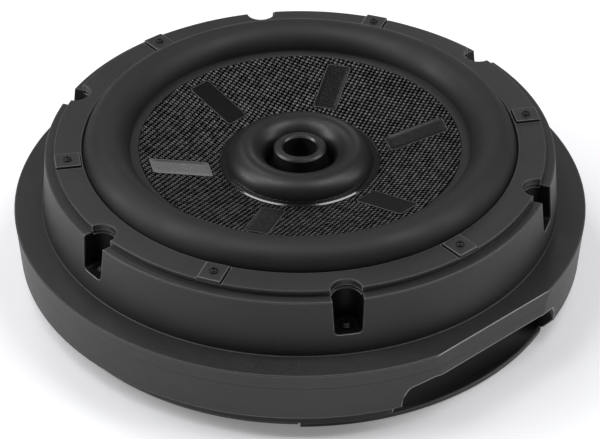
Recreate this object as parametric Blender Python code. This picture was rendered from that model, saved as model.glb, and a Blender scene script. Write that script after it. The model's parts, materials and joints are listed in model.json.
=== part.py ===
"""Powered car subwoofer that sits in the well of a spare wheel.

Metres, +Z up. The origin is the centre of the flat face it rests on, and +Z is also the axis of the
loudspeaker. The connector bay faces BAY_ANGLE, clockwise of +X.

Round pieces are outlines of (radius, height) points spun about Z. The amplifier and its panel are
modelled in the bay's own directions: X points out of the bay, Y runs across it, Z is up.
"""

import math
from collections import namedtuple

import bmesh
import bpy
from mathutils import Matrix, Vector

GAP = 0.0003  # air left between pieces that touch

# Casing: a wide flange with a tapered drum on it, and a separate lower half below the seam.
FLANGE_RADIUS = 0.186
FLANGE_TOP = 0.050
SEAM_HEIGHT = 0.0398
SEAM_RADIUS = 0.1852
WALL_BOTTOM_RADIUS = 0.1839
WALL_BOTTOM = 0.0146
DRUM_FOOT_RADIUS = 0.1675
DRUM_TOP_RADIUS = 0.1638
DRUM_TOP = 0.0874
WALL = 0.003
SEAT_RADIUS = 0.157
SEAT_HEIGHT = 0.0854
OPENING_RADIUS = 0.1395
BASE_RADIUS = 0.172
SKIRT_RADIUS = 0.1756

# One flat on the outer wall, given by its direction and its distance from the axis.
FLAT_ANGLE = math.radians(-49.0)
FLAT_DISTANCE = 0.1798

# Six open wells hold the casing screws, six pads between them hold the driver screws.
SIXTH = math.radians(60.0)
WELL_ANGLES = [math.radians(-80.0) + i * SIXTH for i in range(6)]
WELL_CENTRE = 0.1578
WELL_RADIUS = 0.0095
WELL_FLOOR = 0.064
WELL_WALL = 0.0028
PAD_ANGLES = [math.radians(10.0) + i * SIXTH for i in range(6)]
PAD_WIDTH = 0.0145
PAD_INNER = 0.1415
PAD_OUTER = 0.1575
PAD_TOP = 0.0931
DRIVER_SCREW_CIRCLE = 0.1495
POST_RADIUS = 0.0046
BOSS_RADIUS = 0.0045

# Driver: frame, moving cone and motor.
FRAME_RADIUS = 0.1559
FRAME_BOTTOM = 0.0875
FRAME_TOP = 0.0916
ROLL_CENTRE = (0.1243, 0.0886)
ROLL_RADIUS = 0.0148
ROLL_THICKNESS = 0.0012
CONE_RIM = (0.1035, 0.0880)
CONE_INNER = (0.0522, 0.0749)
CONE_THICKNESS = 0.0012
NECK_RADIUS = 0.0246
BAR_ANGLES = [math.radians(14.0) + i * SIXTH for i in range(6)]
BAR_WIDTH = 0.016
BAR_INNER = 0.0590
BAR_OUTER = 0.0975
BAR_PROUD = 0.0007
DOME_CENTRE = (0.0352, 0.0738)
DOME_RADIUS = 0.0128
DOME_THICKNESS = 0.001
FORMER_RADII = (0.0238, 0.0243)
WINDING_RADII = (0.0246, 0.0260)
POLE_RADIUS = 0.0232

# Hub sleeve for the bolt that holds the subwoofer in the wheel.
HUB_RADIUS = 0.017
HUB_TOP = 0.0857
HUB_BORE = 0.011
HUB_BOLT_BORE = 0.007

# Connector bay, in its own directions: X out, Y across.
BAY_ANGLE = math.radians(-50.15)
BAY_BACK = 0.150
BAY_HALF_WIDTH = 0.0634
BAY_CEILING = 0.0328
TRAY_RADIUS = 0.1745
TRAY_INNER_RADIUS = 0.1683
TRAY_RIM = 0.0038
TRAY_START = math.radians(-90.0)
TRAY_END = math.radians(-29.0)
PANEL_LOW = 0.0165
PANEL_HIGH = 0.0320
PANEL_HALF_WIDTH = 0.058
BOARD_LOW = 0.015
BOARD_HIGH = 0.0166

# Where each connector passes through the panel: centre across, centre height, width and height.
Place = namedtuple("Place", "across up width height")
POWER_SOCKET = Place(-0.0440, 0.0240, 0.022, 0.011)
FUSE_HOLDER = Place(-0.027, 0.0245, 0.008, 0.012)
SPEAKER_SOCKET = Place(-0.0135, 0.0245, 0.013, 0.010)
RCA_LEFT = Place(0.001, 0.0245, 0.0092, 0.0092)
RCA_RIGHT = Place(0.0135, 0.0245, 0.0092, 0.0092)
REMOTE_PORT = Place(0.0255, 0.0245, 0.009, 0.008)
POWER_LED = Place(0.0340, 0.0198, 0.003, 0.003)
PHASE_SWITCH = Place(0.0440, 0.0198, 0.0072, 0.0028)
KNOBS = {
    "level": Place(0.0340, 0.0262, 0.0054, 0.0054),
    "crossover": Place(0.0426, 0.0262, 0.0054, 0.0054),
    "bass_boost": Place(0.0512, 0.0262, 0.0054, 0.0054),
}
SWITCH_TRAVEL = 0.004

LARGE = 36  # facets of a big ring
SMALL = 24  # facets of a ring near the axis
TINY = 12  # facets of a knob
SCREW = 8  # facets of a screw and its hole

# Colour, roughness and metallic value.
BLACK_CASTING = ((0.030, 0.030, 0.032), 0.55, 0.0)
SATIN_BLACK = ((0.018, 0.018, 0.019), 0.35, 0.0)
BLACK_RUBBER = ((0.016, 0.016, 0.017), 0.75, 0.0)
WOVEN_BLACK = ((0.012, 0.012, 0.013), 0.30, 0.0)
SPIDER_CLOTH = ((0.45, 0.33, 0.16), 0.90, 0.0)
DARK_STEEL = ((0.060, 0.060, 0.063), 0.35, 0.9)
BRIGHT_STEEL = ((0.55, 0.55, 0.56), 0.35, 1.0)
ALUMINIUM = ((0.62, 0.62, 0.64), 0.40, 1.0)
FERRITE = ((0.045, 0.045, 0.048), 0.70, 0.2)
DARK_PAPER = ((0.035, 0.030, 0.026), 0.80, 0.0)
COPPER = ((0.72, 0.36, 0.18), 0.30, 1.0)
BOARD_GREEN = ((0.020, 0.120, 0.050), 0.45, 0.0)
GREY_PLASTIC = ((0.20, 0.20, 0.21), 0.50, 0.0)
WHITE_PLASTIC = ((0.78, 0.78, 0.76), 0.45, 0.0)
RED_PLASTIC = ((0.60, 0.030, 0.025), 0.45, 0.0)
ORANGE_PLASTIC = ((0.80, 0.25, 0.030), 0.30, 0.0)
BLUE_LENS = ((0.080, 0.20, 0.75), 0.15, 0.0)


def clear_scene():
    for obj in list(bpy.data.objects):
        bpy.data.objects.remove(obj, do_unlink=True)


def new_material(name, look):
    colour, roughness, metallic = look
    material = bpy.data.materials.new(name)
    material.use_nodes = True
    shader = material.node_tree.nodes["Principled BSDF"]
    shader.inputs["Base Color"].default_value = (*colour, 1.0)
    shader.inputs["Roughness"].default_value = roughness
    shader.inputs["Metallic"].default_value = metallic
    material.diffuse_color = (*colour, 1.0)
    return material


def finished_mesh(name, bm):
    """Turn the bmesh into a mesh with its faces pointing out."""
    bmesh.ops.recalc_face_normals(bm, faces=bm.faces)
    mesh = bpy.data.meshes.new(name)
    bm.to_mesh(mesh)
    bm.free()
    mesh.shade_smooth()
    mesh.set_sharp_from_angle(angle=math.radians(32.0))
    return mesh


def new_object(name, bm):
    obj = bpy.data.objects.new(name, finished_mesh(name, bm))
    bpy.context.scene.collection.objects.link(obj)
    return obj


def piece(name, bm, look, parent=None):
    obj = new_object(name, bm)
    obj.data.materials.append(new_material(name, look))
    obj.parent = parent
    return obj


def cutter(name, bm, parent=None):
    """A helper shape for a Boolean, left out of the object."""
    obj = new_object(name, bm)
    obj.hide_render = True
    obj.display_type = "WIRE"
    obj.parent = parent
    return obj


def combine(obj, other, operation):
    modifier = obj.modifiers.new(f"{operation.lower()} {other.name}", "BOOLEAN")
    modifier.operation = operation
    modifier.object = other


def cut(obj, *others):
    for other in others:
        combine(obj, other, "DIFFERENCE")


def join(obj, *others):
    for other in others:
        combine(obj, other, "UNION")


def add_turned(bm, outline, segments):
    """Spin a closed outline of (radius, height) points about Z. Points on the axis meet in one point."""
    points = [bm.verts.new((radius, 0.0, height)) for radius, height in outline]
    edges = []
    for first, second in zip(points, points[1:] + points[:1]):
        if first.co.x > 0.0 or second.co.x > 0.0:
            edges.append(bm.edges.new((first, second)))
    bmesh.ops.spin(
        bm,
        geom=points + edges,
        cent=(0.0, 0.0, 0.0),
        axis=(0.0, 0.0, 1.0),
        angle=math.tau,
        steps=segments,
        use_merge=True,
    )
    bmesh.ops.remove_doubles(bm, verts=bm.verts, dist=1e-6)


def turned(outline, segments):
    bm = bmesh.new()
    add_turned(bm, outline, segments)
    return bm


def add_prism(bm, outline, low, high, matrix=Matrix.Identity(4)):
    """Extrude a closed outline of (x, y) points from low to high along Z, then move it by matrix."""
    floor = bm.faces.new([bm.verts.new((x, y, low)) for x, y in outline])
    raised = bmesh.ops.extrude_face_region(bm, geom=[floor])
    top = [item for item in raised["geom"] if isinstance(item, bmesh.types.BMVert)]
    bmesh.ops.translate(bm, verts=top, vec=(0.0, 0.0, high - low))
    bmesh.ops.transform(bm, matrix=matrix, verts=top + list(floor.verts))


def add_box(bm, low, high):
    size = [b - a for a, b in zip(low, high)]
    middle = [(a + b) / 2 for a, b in zip(low, high)]
    matrix = Matrix.Translation(middle) @ Matrix.Diagonal((*size, 1.0))
    bmesh.ops.create_cube(bm, size=1.0, matrix=matrix)


def box(low, high):
    bm = bmesh.new()
    add_box(bm, low, high)
    return bm


def add_cylinder(bm, radius, low, high, matrix=Matrix.Identity(4), segments=TINY):
    """A cylinder along Z from low to high, moved by matrix."""
    middle = Matrix.Translation((0.0, 0.0, (low + high) / 2))
    bmesh.ops.create_cone(
        bm,
        cap_ends=True,
        segments=segments,
        radius1=radius,
        radius2=radius,
        depth=high - low,
        matrix=matrix @ middle,
    )


def arc(centre, radius, start, end, steps):
    """Points of a circular arc, angles in degrees measured from the first axis."""
    angles = [math.radians(start + (end - start) * i / steps) for i in range(steps + 1)]
    return [(centre[0] + radius * math.cos(a), centre[1] + radius * math.sin(a)) for a in angles]


def spoke(angle, distance=0.0):
    """The frame whose X axis points along the angle, with its origin that far out."""
    return Matrix.Rotation(angle, 4, "Z") @ Matrix.Translation((distance, 0.0, 0.0))


def slot_outline(radius, reach):
    """A half circle about the origin that runs straight on along X as far as reach."""
    return arc((0.0, 0.0), radius, 90.0, 270.0, 6) + [(reach, -radius), (reach, radius)]


def sector_outline(inner, outer, start, end, steps):
    """A piece of a ring between two angles in degrees."""
    centre = (0.0, 0.0)
    return arc(centre, outer, start, end, steps) + arc(centre, inner, end, start, steps)


def side_profile():
    """The frame that stands an (across, up) outline upright, extruded along X."""
    return Matrix(((0, 0, 1, 0), (1, 0, 0, 0), (0, 1, 0, 0), (0, 0, 0, 1)))


def front_profile():
    """The frame that stands an (out, up) outline upright, extruded along Y."""
    return Matrix(((1, 0, 0, 0), (0, 0, -1, 0), (0, 1, 0, 0), (0, 0, 0, 1)))


# Casing


def flat_block(name, distance):
    """Everything beyond the casing's flat, at the given distance from the axis."""
    bm = bmesh.new()
    outline = [(distance, -0.08), (0.22, -0.08), (0.22, 0.08), (distance, 0.08)]
    add_prism(bm, outline, 0.010, 0.056, spoke(FLAT_ANGLE))
    return cutter(name, bm)


def well_blocks(name, radius, low, high):
    bm = bmesh.new()
    for angle in WELL_ANGLES:
        add_prism(bm, slot_outline(radius, 0.014), low, high, spoke(angle, WELL_CENTRE))
    return cutter(name, bm)


def columns(name, angles, circle, radius, low, high):
    bm = bmesh.new()
    for angle in angles:
        add_cylinder(bm, radius, low, high, spoke(angle, circle), SCREW)
    return cutter(name, bm)


def upper_casing(wells, flat, driver_holes, casing_holes):
    fillet = 0.0018
    chamfer = 0.0010
    foot = arc((DRUM_FOOT_RADIUS + fillet, FLANGE_TOP + fillet), fillet, 270.0, 186.0, 2)
    outline = [
        (OPENING_RADIUS, SEAM_HEIGHT + GAP),
        (SEAM_RADIUS, SEAM_HEIGHT + GAP),
        (FLANGE_RADIUS, FLANGE_TOP - chamfer),
        (FLANGE_RADIUS - chamfer, FLANGE_TOP),
        *foot,
        (DRUM_TOP_RADIUS + 0.0001, DRUM_TOP - chamfer),
        (DRUM_TOP_RADIUS - chamfer, DRUM_TOP),
        (SEAT_RADIUS, DRUM_TOP),
        (SEAT_RADIUS, SEAT_HEIGHT),
        (OPENING_RADIUS, SEAT_HEIGHT),
    ]
    casing = piece("upper_casing", turned(outline, LARGE), BLACK_CASTING)
    hollow_top = SEAT_HEIGHT - WALL
    drum_inner = DRUM_FOOT_RADIUS - WALL
    hollow = [
        (0.120, 0.030),
        (SEAM_RADIUS - WALL, 0.030),
        (SEAM_RADIUS - WALL, FLANGE_TOP - WALL),
        (drum_inner, FLANGE_TOP - WALL),
        (DRUM_TOP_RADIUS - WALL, hollow_top),
        (0.120, hollow_top),
    ]
    cavity = cutter("upper_cavity", turned(hollow, LARGE))
    cut(cavity, well_blocks("well_walls", WELL_RADIUS + WELL_WALL, WELL_FLOOR - WALL, 0.095))
    cut(cavity, columns("driver_bosses", PAD_ANGLES, DRIVER_SCREW_CIRCLE, BOSS_RADIUS, 0.072, 0.084))
    cut(cavity, flat_block("flat_wall", FLAT_DISTANCE - WALL))
    cut(casing, cavity, wells, flat, driver_holes, casing_holes)


def bay_outline():
    """The mouth of the connector bay seen from outside, as (across, up) points. It runs out below."""
    half = BAY_HALF_WIDTH
    top = BAY_CEILING
    shoulder = [(half, 0.0175), (0.0620, top - 0.0090), (0.0580, top - 0.0042), (0.0495, top - 0.0012),
                (0.0420, top)]
    mirrored = [(-across, up) for across, up in reversed(shoulder)]
    return [(-half, -0.005), (half, -0.005), *shoulder, *mirrored]


def bay_cheek():
    """A web at one end of the bay, from the skirt to the foot of the wall, with a sloping lower edge."""
    inside = math.sqrt(SKIRT_RADIUS ** 2 - BAY_HALF_WIDTH ** 2)
    outside = math.sqrt(WALL_BOTTOM_RADIUS ** 2 - BAY_HALF_WIDTH ** 2) - 0.0008
    outline = [(inside - 0.0015, 0.0050), (inside + 0.0005, 0.0050), (outside, WALL_BOTTOM + 0.0005),
               (outside, WALL_BOTTOM + 0.0015), (inside - 0.0015, WALL_BOTTOM + 0.0015)]
    cheek = bmesh.new()
    add_prism(cheek, outline, -BAY_HALF_WIDTH - 0.0025, -BAY_HALF_WIDTH + 0.0005, front_profile())
    return cheek


def lower_casing(bay, flat, casing_holes):
    hub_hole = HUB_RADIUS + 0.0006
    outline = [
        (hub_hole, 0.0),
        (BASE_RADIUS, 0.0),
        (SKIRT_RADIUS, 0.005),
        (SKIRT_RADIUS + 0.0014, 0.0136),
        (WALL_BOTTOM_RADIUS - 0.001, WALL_BOTTOM),
        (WALL_BOTTOM_RADIUS, WALL_BOTTOM + 0.001),
        (SEAM_RADIUS - 0.0001, SEAM_HEIGHT - GAP),
        (hub_hole, SEAM_HEIGHT - GAP),
    ]
    casing = piece("lower_casing", turned(outline, LARGE), BLACK_CASTING)
    hollow = [
        (0.010, WALL),
        (BASE_RADIUS - 0.0016, WALL),
        (SKIRT_RADIUS - WALL, 0.0058),
        (SKIRT_RADIUS - 0.0016, WALL_BOTTOM + 0.002),
        (WALL_BOTTOM_RADIUS - WALL, WALL_BOTTOM + WALL),
        (SEAM_RADIUS - WALL, 0.034),
        (SEAM_RADIUS - WALL, 0.045),
        (0.010, 0.045),
    ]
    cavity = cutter("lower_cavity", turned(hollow, LARGE))
    cut(cavity, flat_block("lower_flat_wall", FLAT_DISTANCE - WALL))
    bay_walls = box((BAY_BACK - 0.0025, -0.066, -0.005), (0.200, 0.066, BAY_CEILING + 0.0025))
    cut(cavity, cutter("bay_walls", bay_walls, bay))
    cut(casing, cavity, flat)
    join(casing, columns("screw_posts", WELL_ANGLES, WELL_CENTRE, POST_RADIUS, 0.0015, 0.0607))
    cut(casing, casing_holes)
    join(casing, cutter("bay_cheek", bay_cheek(), bay))

    mouth = bmesh.new()
    add_prism(mouth, bay_outline(), BAY_BACK, 0.200, side_profile())
    window = box((0.140, -PANEL_HALF_WIDTH, PANEL_LOW), (0.151, PANEL_HALF_WIDTH, PANEL_HIGH))
    sink_opening = box((0.084, -0.048, -0.001), (0.140, 0.048, 0.004))
    cut(casing, cutter("bay_mouth", mouth, bay), cutter("panel_window", window, bay))
    cut(casing, cutter("heat_sink_opening", sink_opening, bay))

    pocket = bmesh.new()
    margin = math.radians(0.3)
    ends = [math.degrees(TRAY_START - margin), math.degrees(TRAY_END + margin)]
    add_prism(pocket, sector_outline(TRAY_INNER_RADIUS - GAP, 0.190, *ends, 8), -0.001, TRAY_RIM + GAP)
    cut(casing, cutter("tray_pocket", pocket))


def casing_seal():
    """A rubber cord just inside the seam, following the flat."""
    low = SEAM_HEIGHT - 0.003
    high = SEAM_HEIGHT + 0.003
    inside = SEAM_RADIUS - WALL - GAP
    thickness = 0.0024
    seal = piece("casing_seal", turned([(0.10, low), (inside, low), (inside, high), (0.10, high)], LARGE),
                 BLACK_RUBBER)
    cut(seal, flat_block("seal_outer_flat", FLAT_DISTANCE - WALL - GAP))
    core_radius = inside - thickness
    core_outline = [(0.09, 0.03), (core_radius, 0.03), (core_radius, 0.05), (0.09, 0.05)]
    core = cutter("seal_core", turned(core_outline, LARGE))
    cut(core, flat_block("seal_inner_flat", FLAT_DISTANCE - WALL - GAP - thickness))
    cut(seal, core)


def connector_tray(bay):
    """The shallow floor of the bay: it curves up towards the panel and carries a lip along its rim."""
    inner = BAY_BACK + GAP
    curve = arc((0.172, 0.0235), 0.0198, 262.0, 214.0, 6)
    section = [(inner, 0.0003), (0.180, 0.0003), (0.180, TRAY_RIM), *curve, (inner, curve[-1][1] + 0.001)]
    floor = bmesh.new()
    half = BAY_HALF_WIDTH - GAP
    add_prism(floor, section, -half, half, front_profile())
    tray = piece("connector_tray", floor, BLACK_CASTING, bay)
    disc = turned([(0.0, -0.01), (TRAY_RADIUS, -0.01), (TRAY_RADIUS, 0.03), (0.0, 0.03)], LARGE)
    combine(tray, cutter("tray_disc", disc), "INTERSECT")
    lip = bmesh.new()
    ends = [math.degrees(TRAY_START), math.degrees(TRAY_END)]
    outline = sector_outline(TRAY_INNER_RADIUS, TRAY_RADIUS + 0.0005, *ends, 8)
    add_prism(lip, outline, 0.0002, TRAY_RIM)
    join(tray, cutter("tray_lip", lip))


# Driver


def driver_frame(wells, driver_holes):
    """The pressed basket: land, sloped wall with six windows, spider ledge and foot on the motor."""
    thickness = 0.0024
    outline = [
        (FRAME_RADIUS, FRAME_BOTTOM),
        (FRAME_RADIUS, FRAME_TOP - 0.0005),
        (FRAME_RADIUS - 0.0005, FRAME_TOP),
        (0.1400, FRAME_TOP),
        (0.1400, FRAME_TOP - 0.0020),
        (0.1350, FRAME_TOP - 0.0020),
        (0.1350, 0.0870),
        (0.1160, 0.0680),
        (0.0925, 0.0575),
        (0.0760, 0.0575),
        (0.0650, 0.0449 + thickness),
        (0.0420, 0.0449 + thickness),
        (0.0420, 0.0449),
        (0.0664, 0.0449),
        (0.0774, 0.0575 - thickness),
        (0.0932, 0.0575 - thickness),
        (0.1180, 0.0664),
        (0.1372, 0.0855),
        (0.1372, FRAME_BOTTOM),
    ]
    frame = piece("driver_frame", turned(outline, LARGE), BLACK_CASTING)
    pads = bmesh.new()
    windows = bmesh.new()
    half = PAD_WIDTH / 2
    for angle in PAD_ANGLES:
        rectangle = [(PAD_INNER, -half), (PAD_OUTER, -half), (PAD_OUTER, half), (PAD_INNER, half)]
        add_prism(pads, rectangle, FRAME_TOP - 0.0015, PAD_TOP, spoke(angle))
        add_prism(windows, sector_outline(0.096, 0.114, 11.0, 49.0, 4), 0.050, 0.075, spoke(angle))
    join(frame, cutter("frame_pads", pads))
    cut(frame, cutter("frame_windows", windows), wells, driver_holes)


def frame_gasket(wells, driver_holes):
    low = SEAT_HEIGHT + GAP
    high = FRAME_BOTTOM - GAP
    outline = [(0.1415, low), (0.1552, low), (0.1552, high), (0.1415, high)]
    gasket = piece("frame_gasket", turned(outline, LARGE), BLACK_RUBBER)
    cut(gasket, wells, driver_holes)


def surround():
    """A half roll with a lip on the frame outside and a lip on the cone inside."""
    outer = arc(ROLL_CENTRE, ROLL_RADIUS, 8.0, 180.0, 7)
    inner = arc(ROLL_CENTRE, ROLL_RADIUS - ROLL_THICKNESS, 174.0, 8.0, 5)
    lip_low = FRAME_TOP - 0.0020 + GAP
    outline = [
        (0.1397, lip_low),
        (0.1397, lip_low + 0.0010),
        *outer,
        (0.1095, 0.0884),
        (0.1039, 0.0884),
        (0.1039, 0.0875),
        (0.1100, 0.0875),
        *inner,
        (0.1372, lip_low),
    ]
    piece("surround", turned(outline, LARGE), BLACK_RUBBER)


def cone_height(radius):
    """Height of the cone's upper face where it is straight."""
    slope = (CONE_RIM[1] - CONE_INNER[1]) / (CONE_RIM[0] - CONE_INNER[0])
    return CONE_INNER[1] + slope * (radius - CONE_INNER[0])


def cone():
    """The cone, with a glue ledge at its rim, a collar at its neck and six smooth bars on its face."""
    glue_top = 0.0872
    neck_outer = NECK_RADIUS + CONE_THICKNESS
    outline = [
        (0.1090, glue_top - CONE_THICKNESS),
        (0.1090, glue_top),
        (CONE_RIM[0], glue_top),
        CONE_RIM,
        (0.0400, cone_height(0.0400)),
        (NECK_RADIUS, 0.0670),
        (NECK_RADIUS, 0.0620),
        (neck_outer, 0.0620),
        (neck_outer, 0.0662),
        (0.0404, cone_height(0.0404) - CONE_THICKNESS),
        (CONE_RIM[0], cone_height(CONE_RIM[0]) - 0.0020),
    ]
    body = piece("cone", turned(outline, LARGE), WOVEN_BLACK)
    bars = bmesh.new()
    start = cone_height(BAR_INNER)
    end = cone_height(BAR_OUTER)
    section = [(BAR_INNER, start - 0.0006), (BAR_OUTER, end - 0.0006),
               (BAR_OUTER, end + BAR_PROUD), (BAR_INNER, start + BAR_PROUD)]
    for angle in BAR_ANGLES:
        add_prism(bars, section, -BAR_WIDTH / 2, BAR_WIDTH / 2, spoke(angle) @ front_profile())
    join(body, cutter("cone_bars", bars))


def dust_cap():
    """A ring-shaped dome with a thin flange on the cone and a lip inside the voice coil former."""
    foot = CONE_INNER[0]
    lip_inner = DOME_CENTRE[0] - DOME_RADIUS
    outer = arc(DOME_CENTRE, DOME_RADIUS, 12.0, 180.0, 7)
    inner = arc(DOME_CENTRE, DOME_RADIUS - DOME_THICKNESS, 180.0, 12.0, 6)
    outline = [
        (foot, cone_height(foot) + GAP),
        (foot, cone_height(foot) + 0.0011),
        *outer,
        (lip_inner, 0.0690),
        (lip_inner + DOME_THICKNESS, 0.0690),
        *inner,
        (0.0468, cone_height(0.0468) + GAP),
    ]
    piece("dust_cap", turned(outline, SMALL), SATIN_BLACK)


def tube(name, radii, low, high, look):
    inner, outer = radii
    piece(name, turned([(inner, low), (outer, low), (outer, high), (inner, high)], SMALL), look)


def motor():
    """Voice coil, spider and the magnet system, on one axis with the hub sleeve."""
    tube("voice_coil_former", FORMER_RADII, 0.0310, 0.0730, DARK_PAPER)
    tube("voice_coil_winding", WINDING_RADII, 0.0316, 0.0516, COPPER)
    tube("spider", (NECK_RADIUS, 0.0900), 0.0578, 0.0586, SPIDER_CLOTH)
    tube("top_plate", (0.0266, 0.0640), 0.0386, 0.0446, DARK_STEEL)
    tube("magnet", (0.0340, 0.0700), 0.0203, 0.0383, FERRITE)
    pole_bore = HUB_RADIUS + GAP
    outline = [(pole_bore, 0.0140), (0.0660, 0.0140), (0.0660, 0.0200), (POLE_RADIUS, 0.0200),
               (POLE_RADIUS, 0.0500), (pole_bore, 0.0500)]
    piece("back_plate", turned(outline, SMALL), DARK_STEEL)


def hub_sleeve():
    """The post in the middle: a wide bore above, a bolt bore below and a foot inside the base."""
    chamfer = 0.0012
    foot_low = WALL + GAP
    outline = [
        (HUB_RADIUS, HUB_TOP - chamfer),
        (HUB_RADIUS - chamfer, HUB_TOP),
        (HUB_BORE + chamfer, HUB_TOP),
        (HUB_BORE, HUB_TOP - chamfer),
        (HUB_BORE, 0.0700),
        (HUB_BOLT_BORE, 0.0700),
        (HUB_BOLT_BORE, GAP),
        (HUB_RADIUS, GAP),
        (HUB_RADIUS, foot_low),
        (0.0240, foot_low),
        (0.0240, 0.0063),
        (HUB_RADIUS, 0.0063),
    ]
    piece("hub_sleeve", turned(outline, SMALL), DARK_STEEL)


def lead(name, points, radius, look, parent):
    """A round wire through the points, with closed ends."""
    curve = bpy.data.curves.new(name, "CURVE")
    curve.dimensions = "3D"
    curve.bevel_depth = radius
    curve.bevel_resolution = 1
    curve.use_fill_caps = True
    path = curve.splines.new("POLY")
    path.points.add(len(points) - 1)
    for target, point in zip(path.points, points):
        target.co = (*point, 1.0)
    curve.materials.append(new_material(name, look))
    obj = bpy.data.objects.new(name, curve)
    obj.parent = parent
    bpy.context.scene.collection.objects.link(obj)


def driver_leads(bay):
    """The terminal under the basket, the cable to it and the two flexible leads to the voice coil."""
    piece("driver_terminal", box((0.1040, -0.008, 0.0500), (0.1120, 0.008, 0.0597)), GREY_PLASTIC, bay)
    lead("speaker_lead", [(0.1000, -0.020, 0.0178), (0.1000, -0.020, 0.0300), (0.1040, -0.006, 0.0420),
                          (0.1080, 0.0, 0.0480)], 0.0016, BLACK_RUBBER, bay)
    for name, side in (("tinsel_lead_left", -1.0), ("tinsel_lead_right", 1.0)):
        path = [(0.1080, side * 0.0100, 0.0560), (0.1060, side * 0.0260, 0.0575),
                (0.0980, side * 0.0300, 0.0610), (0.0850, side * 0.0260, 0.0655),
                (0.0560, side * 0.0160, 0.0670), (0.0300, side * 0.0070, 0.0625)]
        lead(name, path, 0.0007, COPPER, bay)


# Fasteners


def screw_mesh(name, head_radius, head_height, shank_radius, shank_length):
    """A pan-head screw. Its origin is under the head."""
    head = [(0.0, head_height), (head_radius * 0.7, head_height), (head_radius, head_height * 0.6),
            (head_radius, 0.0)]
    shank = [(shank_radius, 0.0), (shank_radius, -shank_length + 0.002), (0.0, -shank_length)]
    mesh = finished_mesh(name, turned(head + shank, SCREW))
    mesh.materials.append(new_material(name, BRIGHT_STEEL))
    return mesh


def screws(name, mesh, angles, circle, height):
    for number, angle in enumerate(angles, start=1):
        obj = bpy.data.objects.new(f"{name}_{number}", mesh)
        obj.location = spoke(angle, circle) @ Vector((0.0, 0.0, height))
        bpy.context.scene.collection.objects.link(obj)


# Amplifier


def heat_sink_plate(bay):
    """An aluminium plate on the base, with fins through the base's opening and four board posts."""
    sheet = box((0.079, -0.053, WALL + GAP), (0.1435, 0.053, 0.0060))
    plate = piece("heat_sink_plate", sheet, ALUMINIUM, bay)
    extras = bmesh.new()
    for i in range(9):
        across = (i - 4) * 0.011
        add_box(extras, (0.086, across - 0.0009, 0.0006), (0.138, across + 0.0009, 0.0045))
    for out in (0.089, 0.138):
        for across in (-0.048, 0.048):
            post = Matrix.Translation((out, across, 0.0))
            add_cylinder(extras, 0.0025, 0.0050, BOARD_LOW - GAP, post)
    join(plate, cutter("fins_and_posts", extras, bay))


def circuit_board(bay):
    board = box((0.084, -0.056, BOARD_LOW), (0.1465, 0.056, BOARD_HIGH))
    piece("amp_circuit_board", board, BOARD_GREEN, bay)
    top = BOARD_HIGH + GAP
    ring = [(0.006, top), (0.014, top), (0.014, top + 0.012), (0.006, top + 0.012)]
    toroid = piece("power_toroid", turned(ring, SMALL // 2), COPPER, bay)
    toroid.location = (0.115, -0.034, 0.0)
    for number, across in enumerate((0.012, 0.032), start=1):
        can = bmesh.new()
        add_cylinder(can, 0.008, top, top + 0.024)
        capacitor = piece(f"supply_capacitor_{number}", can, SATIN_BLACK, bay)
        capacitor.location = (0.1120, across, 0.0)
    for number, across in enumerate((-0.012, 0.012), start=1):
        low = (0.0905, across - 0.005, 0.0060 + GAP)
        high = (0.1055, across + 0.005, 0.0108)
        piece(f"power_transistor_{number}", box(low, high), SATIN_BLACK, bay)
    piece("transistor_clamp", box((0.094, -0.024, 0.0111), (0.102, 0.024, 0.0131)), BRIGHT_STEEL, bay)


def connector_body(name, place, front, look, bay, back=0.138):
    """The block of a connector, from behind the panel to its front face."""
    low = (back, place.across - place.width / 2 + GAP, place.up - place.height / 2 + GAP)
    high = (front, place.across + place.width / 2 - GAP, place.up + place.height / 2 - GAP)
    return piece(name, box(low, high), look, bay)


def grid_pockets(name, place, columns_count, rows_count, size, front, depth, bay):
    """Square pockets in a connector's front face."""
    bm = bmesh.new()
    for column in range(columns_count):
        for row in range(rows_count):
            across = place.across + (column - (columns_count - 1) / 2) * size * 1.5
            up = place.up + (row - (rows_count - 1) / 2) * size * 1.35
            low = (front - depth, across - size / 2, up - size / 2)
            add_box(bm, low, (front + 0.005, across + size / 2, up + size / 2))
    return cutter(name, bm, bay)


def rca_jack(name, place, look, bay):
    """A round jack: a block behind the panel and a barrel in front, with a blind bore."""
    back = 0.138
    half = place.width / 2 - 0.0012
    jack = piece(name, box((back, place.across - half, place.up - half),
                           (0.1476, place.across + half, place.up + half)), look, bay)
    along = Matrix.Translation((0.0, place.across, place.up)) @ Matrix.Rotation(math.pi / 2, 4, "Y")
    barrel = bmesh.new()
    add_cylinder(barrel, place.width / 2 - GAP, 0.1460, 0.1570, along, SMALL // 2)
    join(jack, cutter(f"{name}_barrel", barrel, bay))
    bore = bmesh.new()
    add_cylinder(bore, 0.0016, 0.1480, 0.1600, along)
    cut(jack, cutter(f"{name}_bore", bore, bay))


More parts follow.
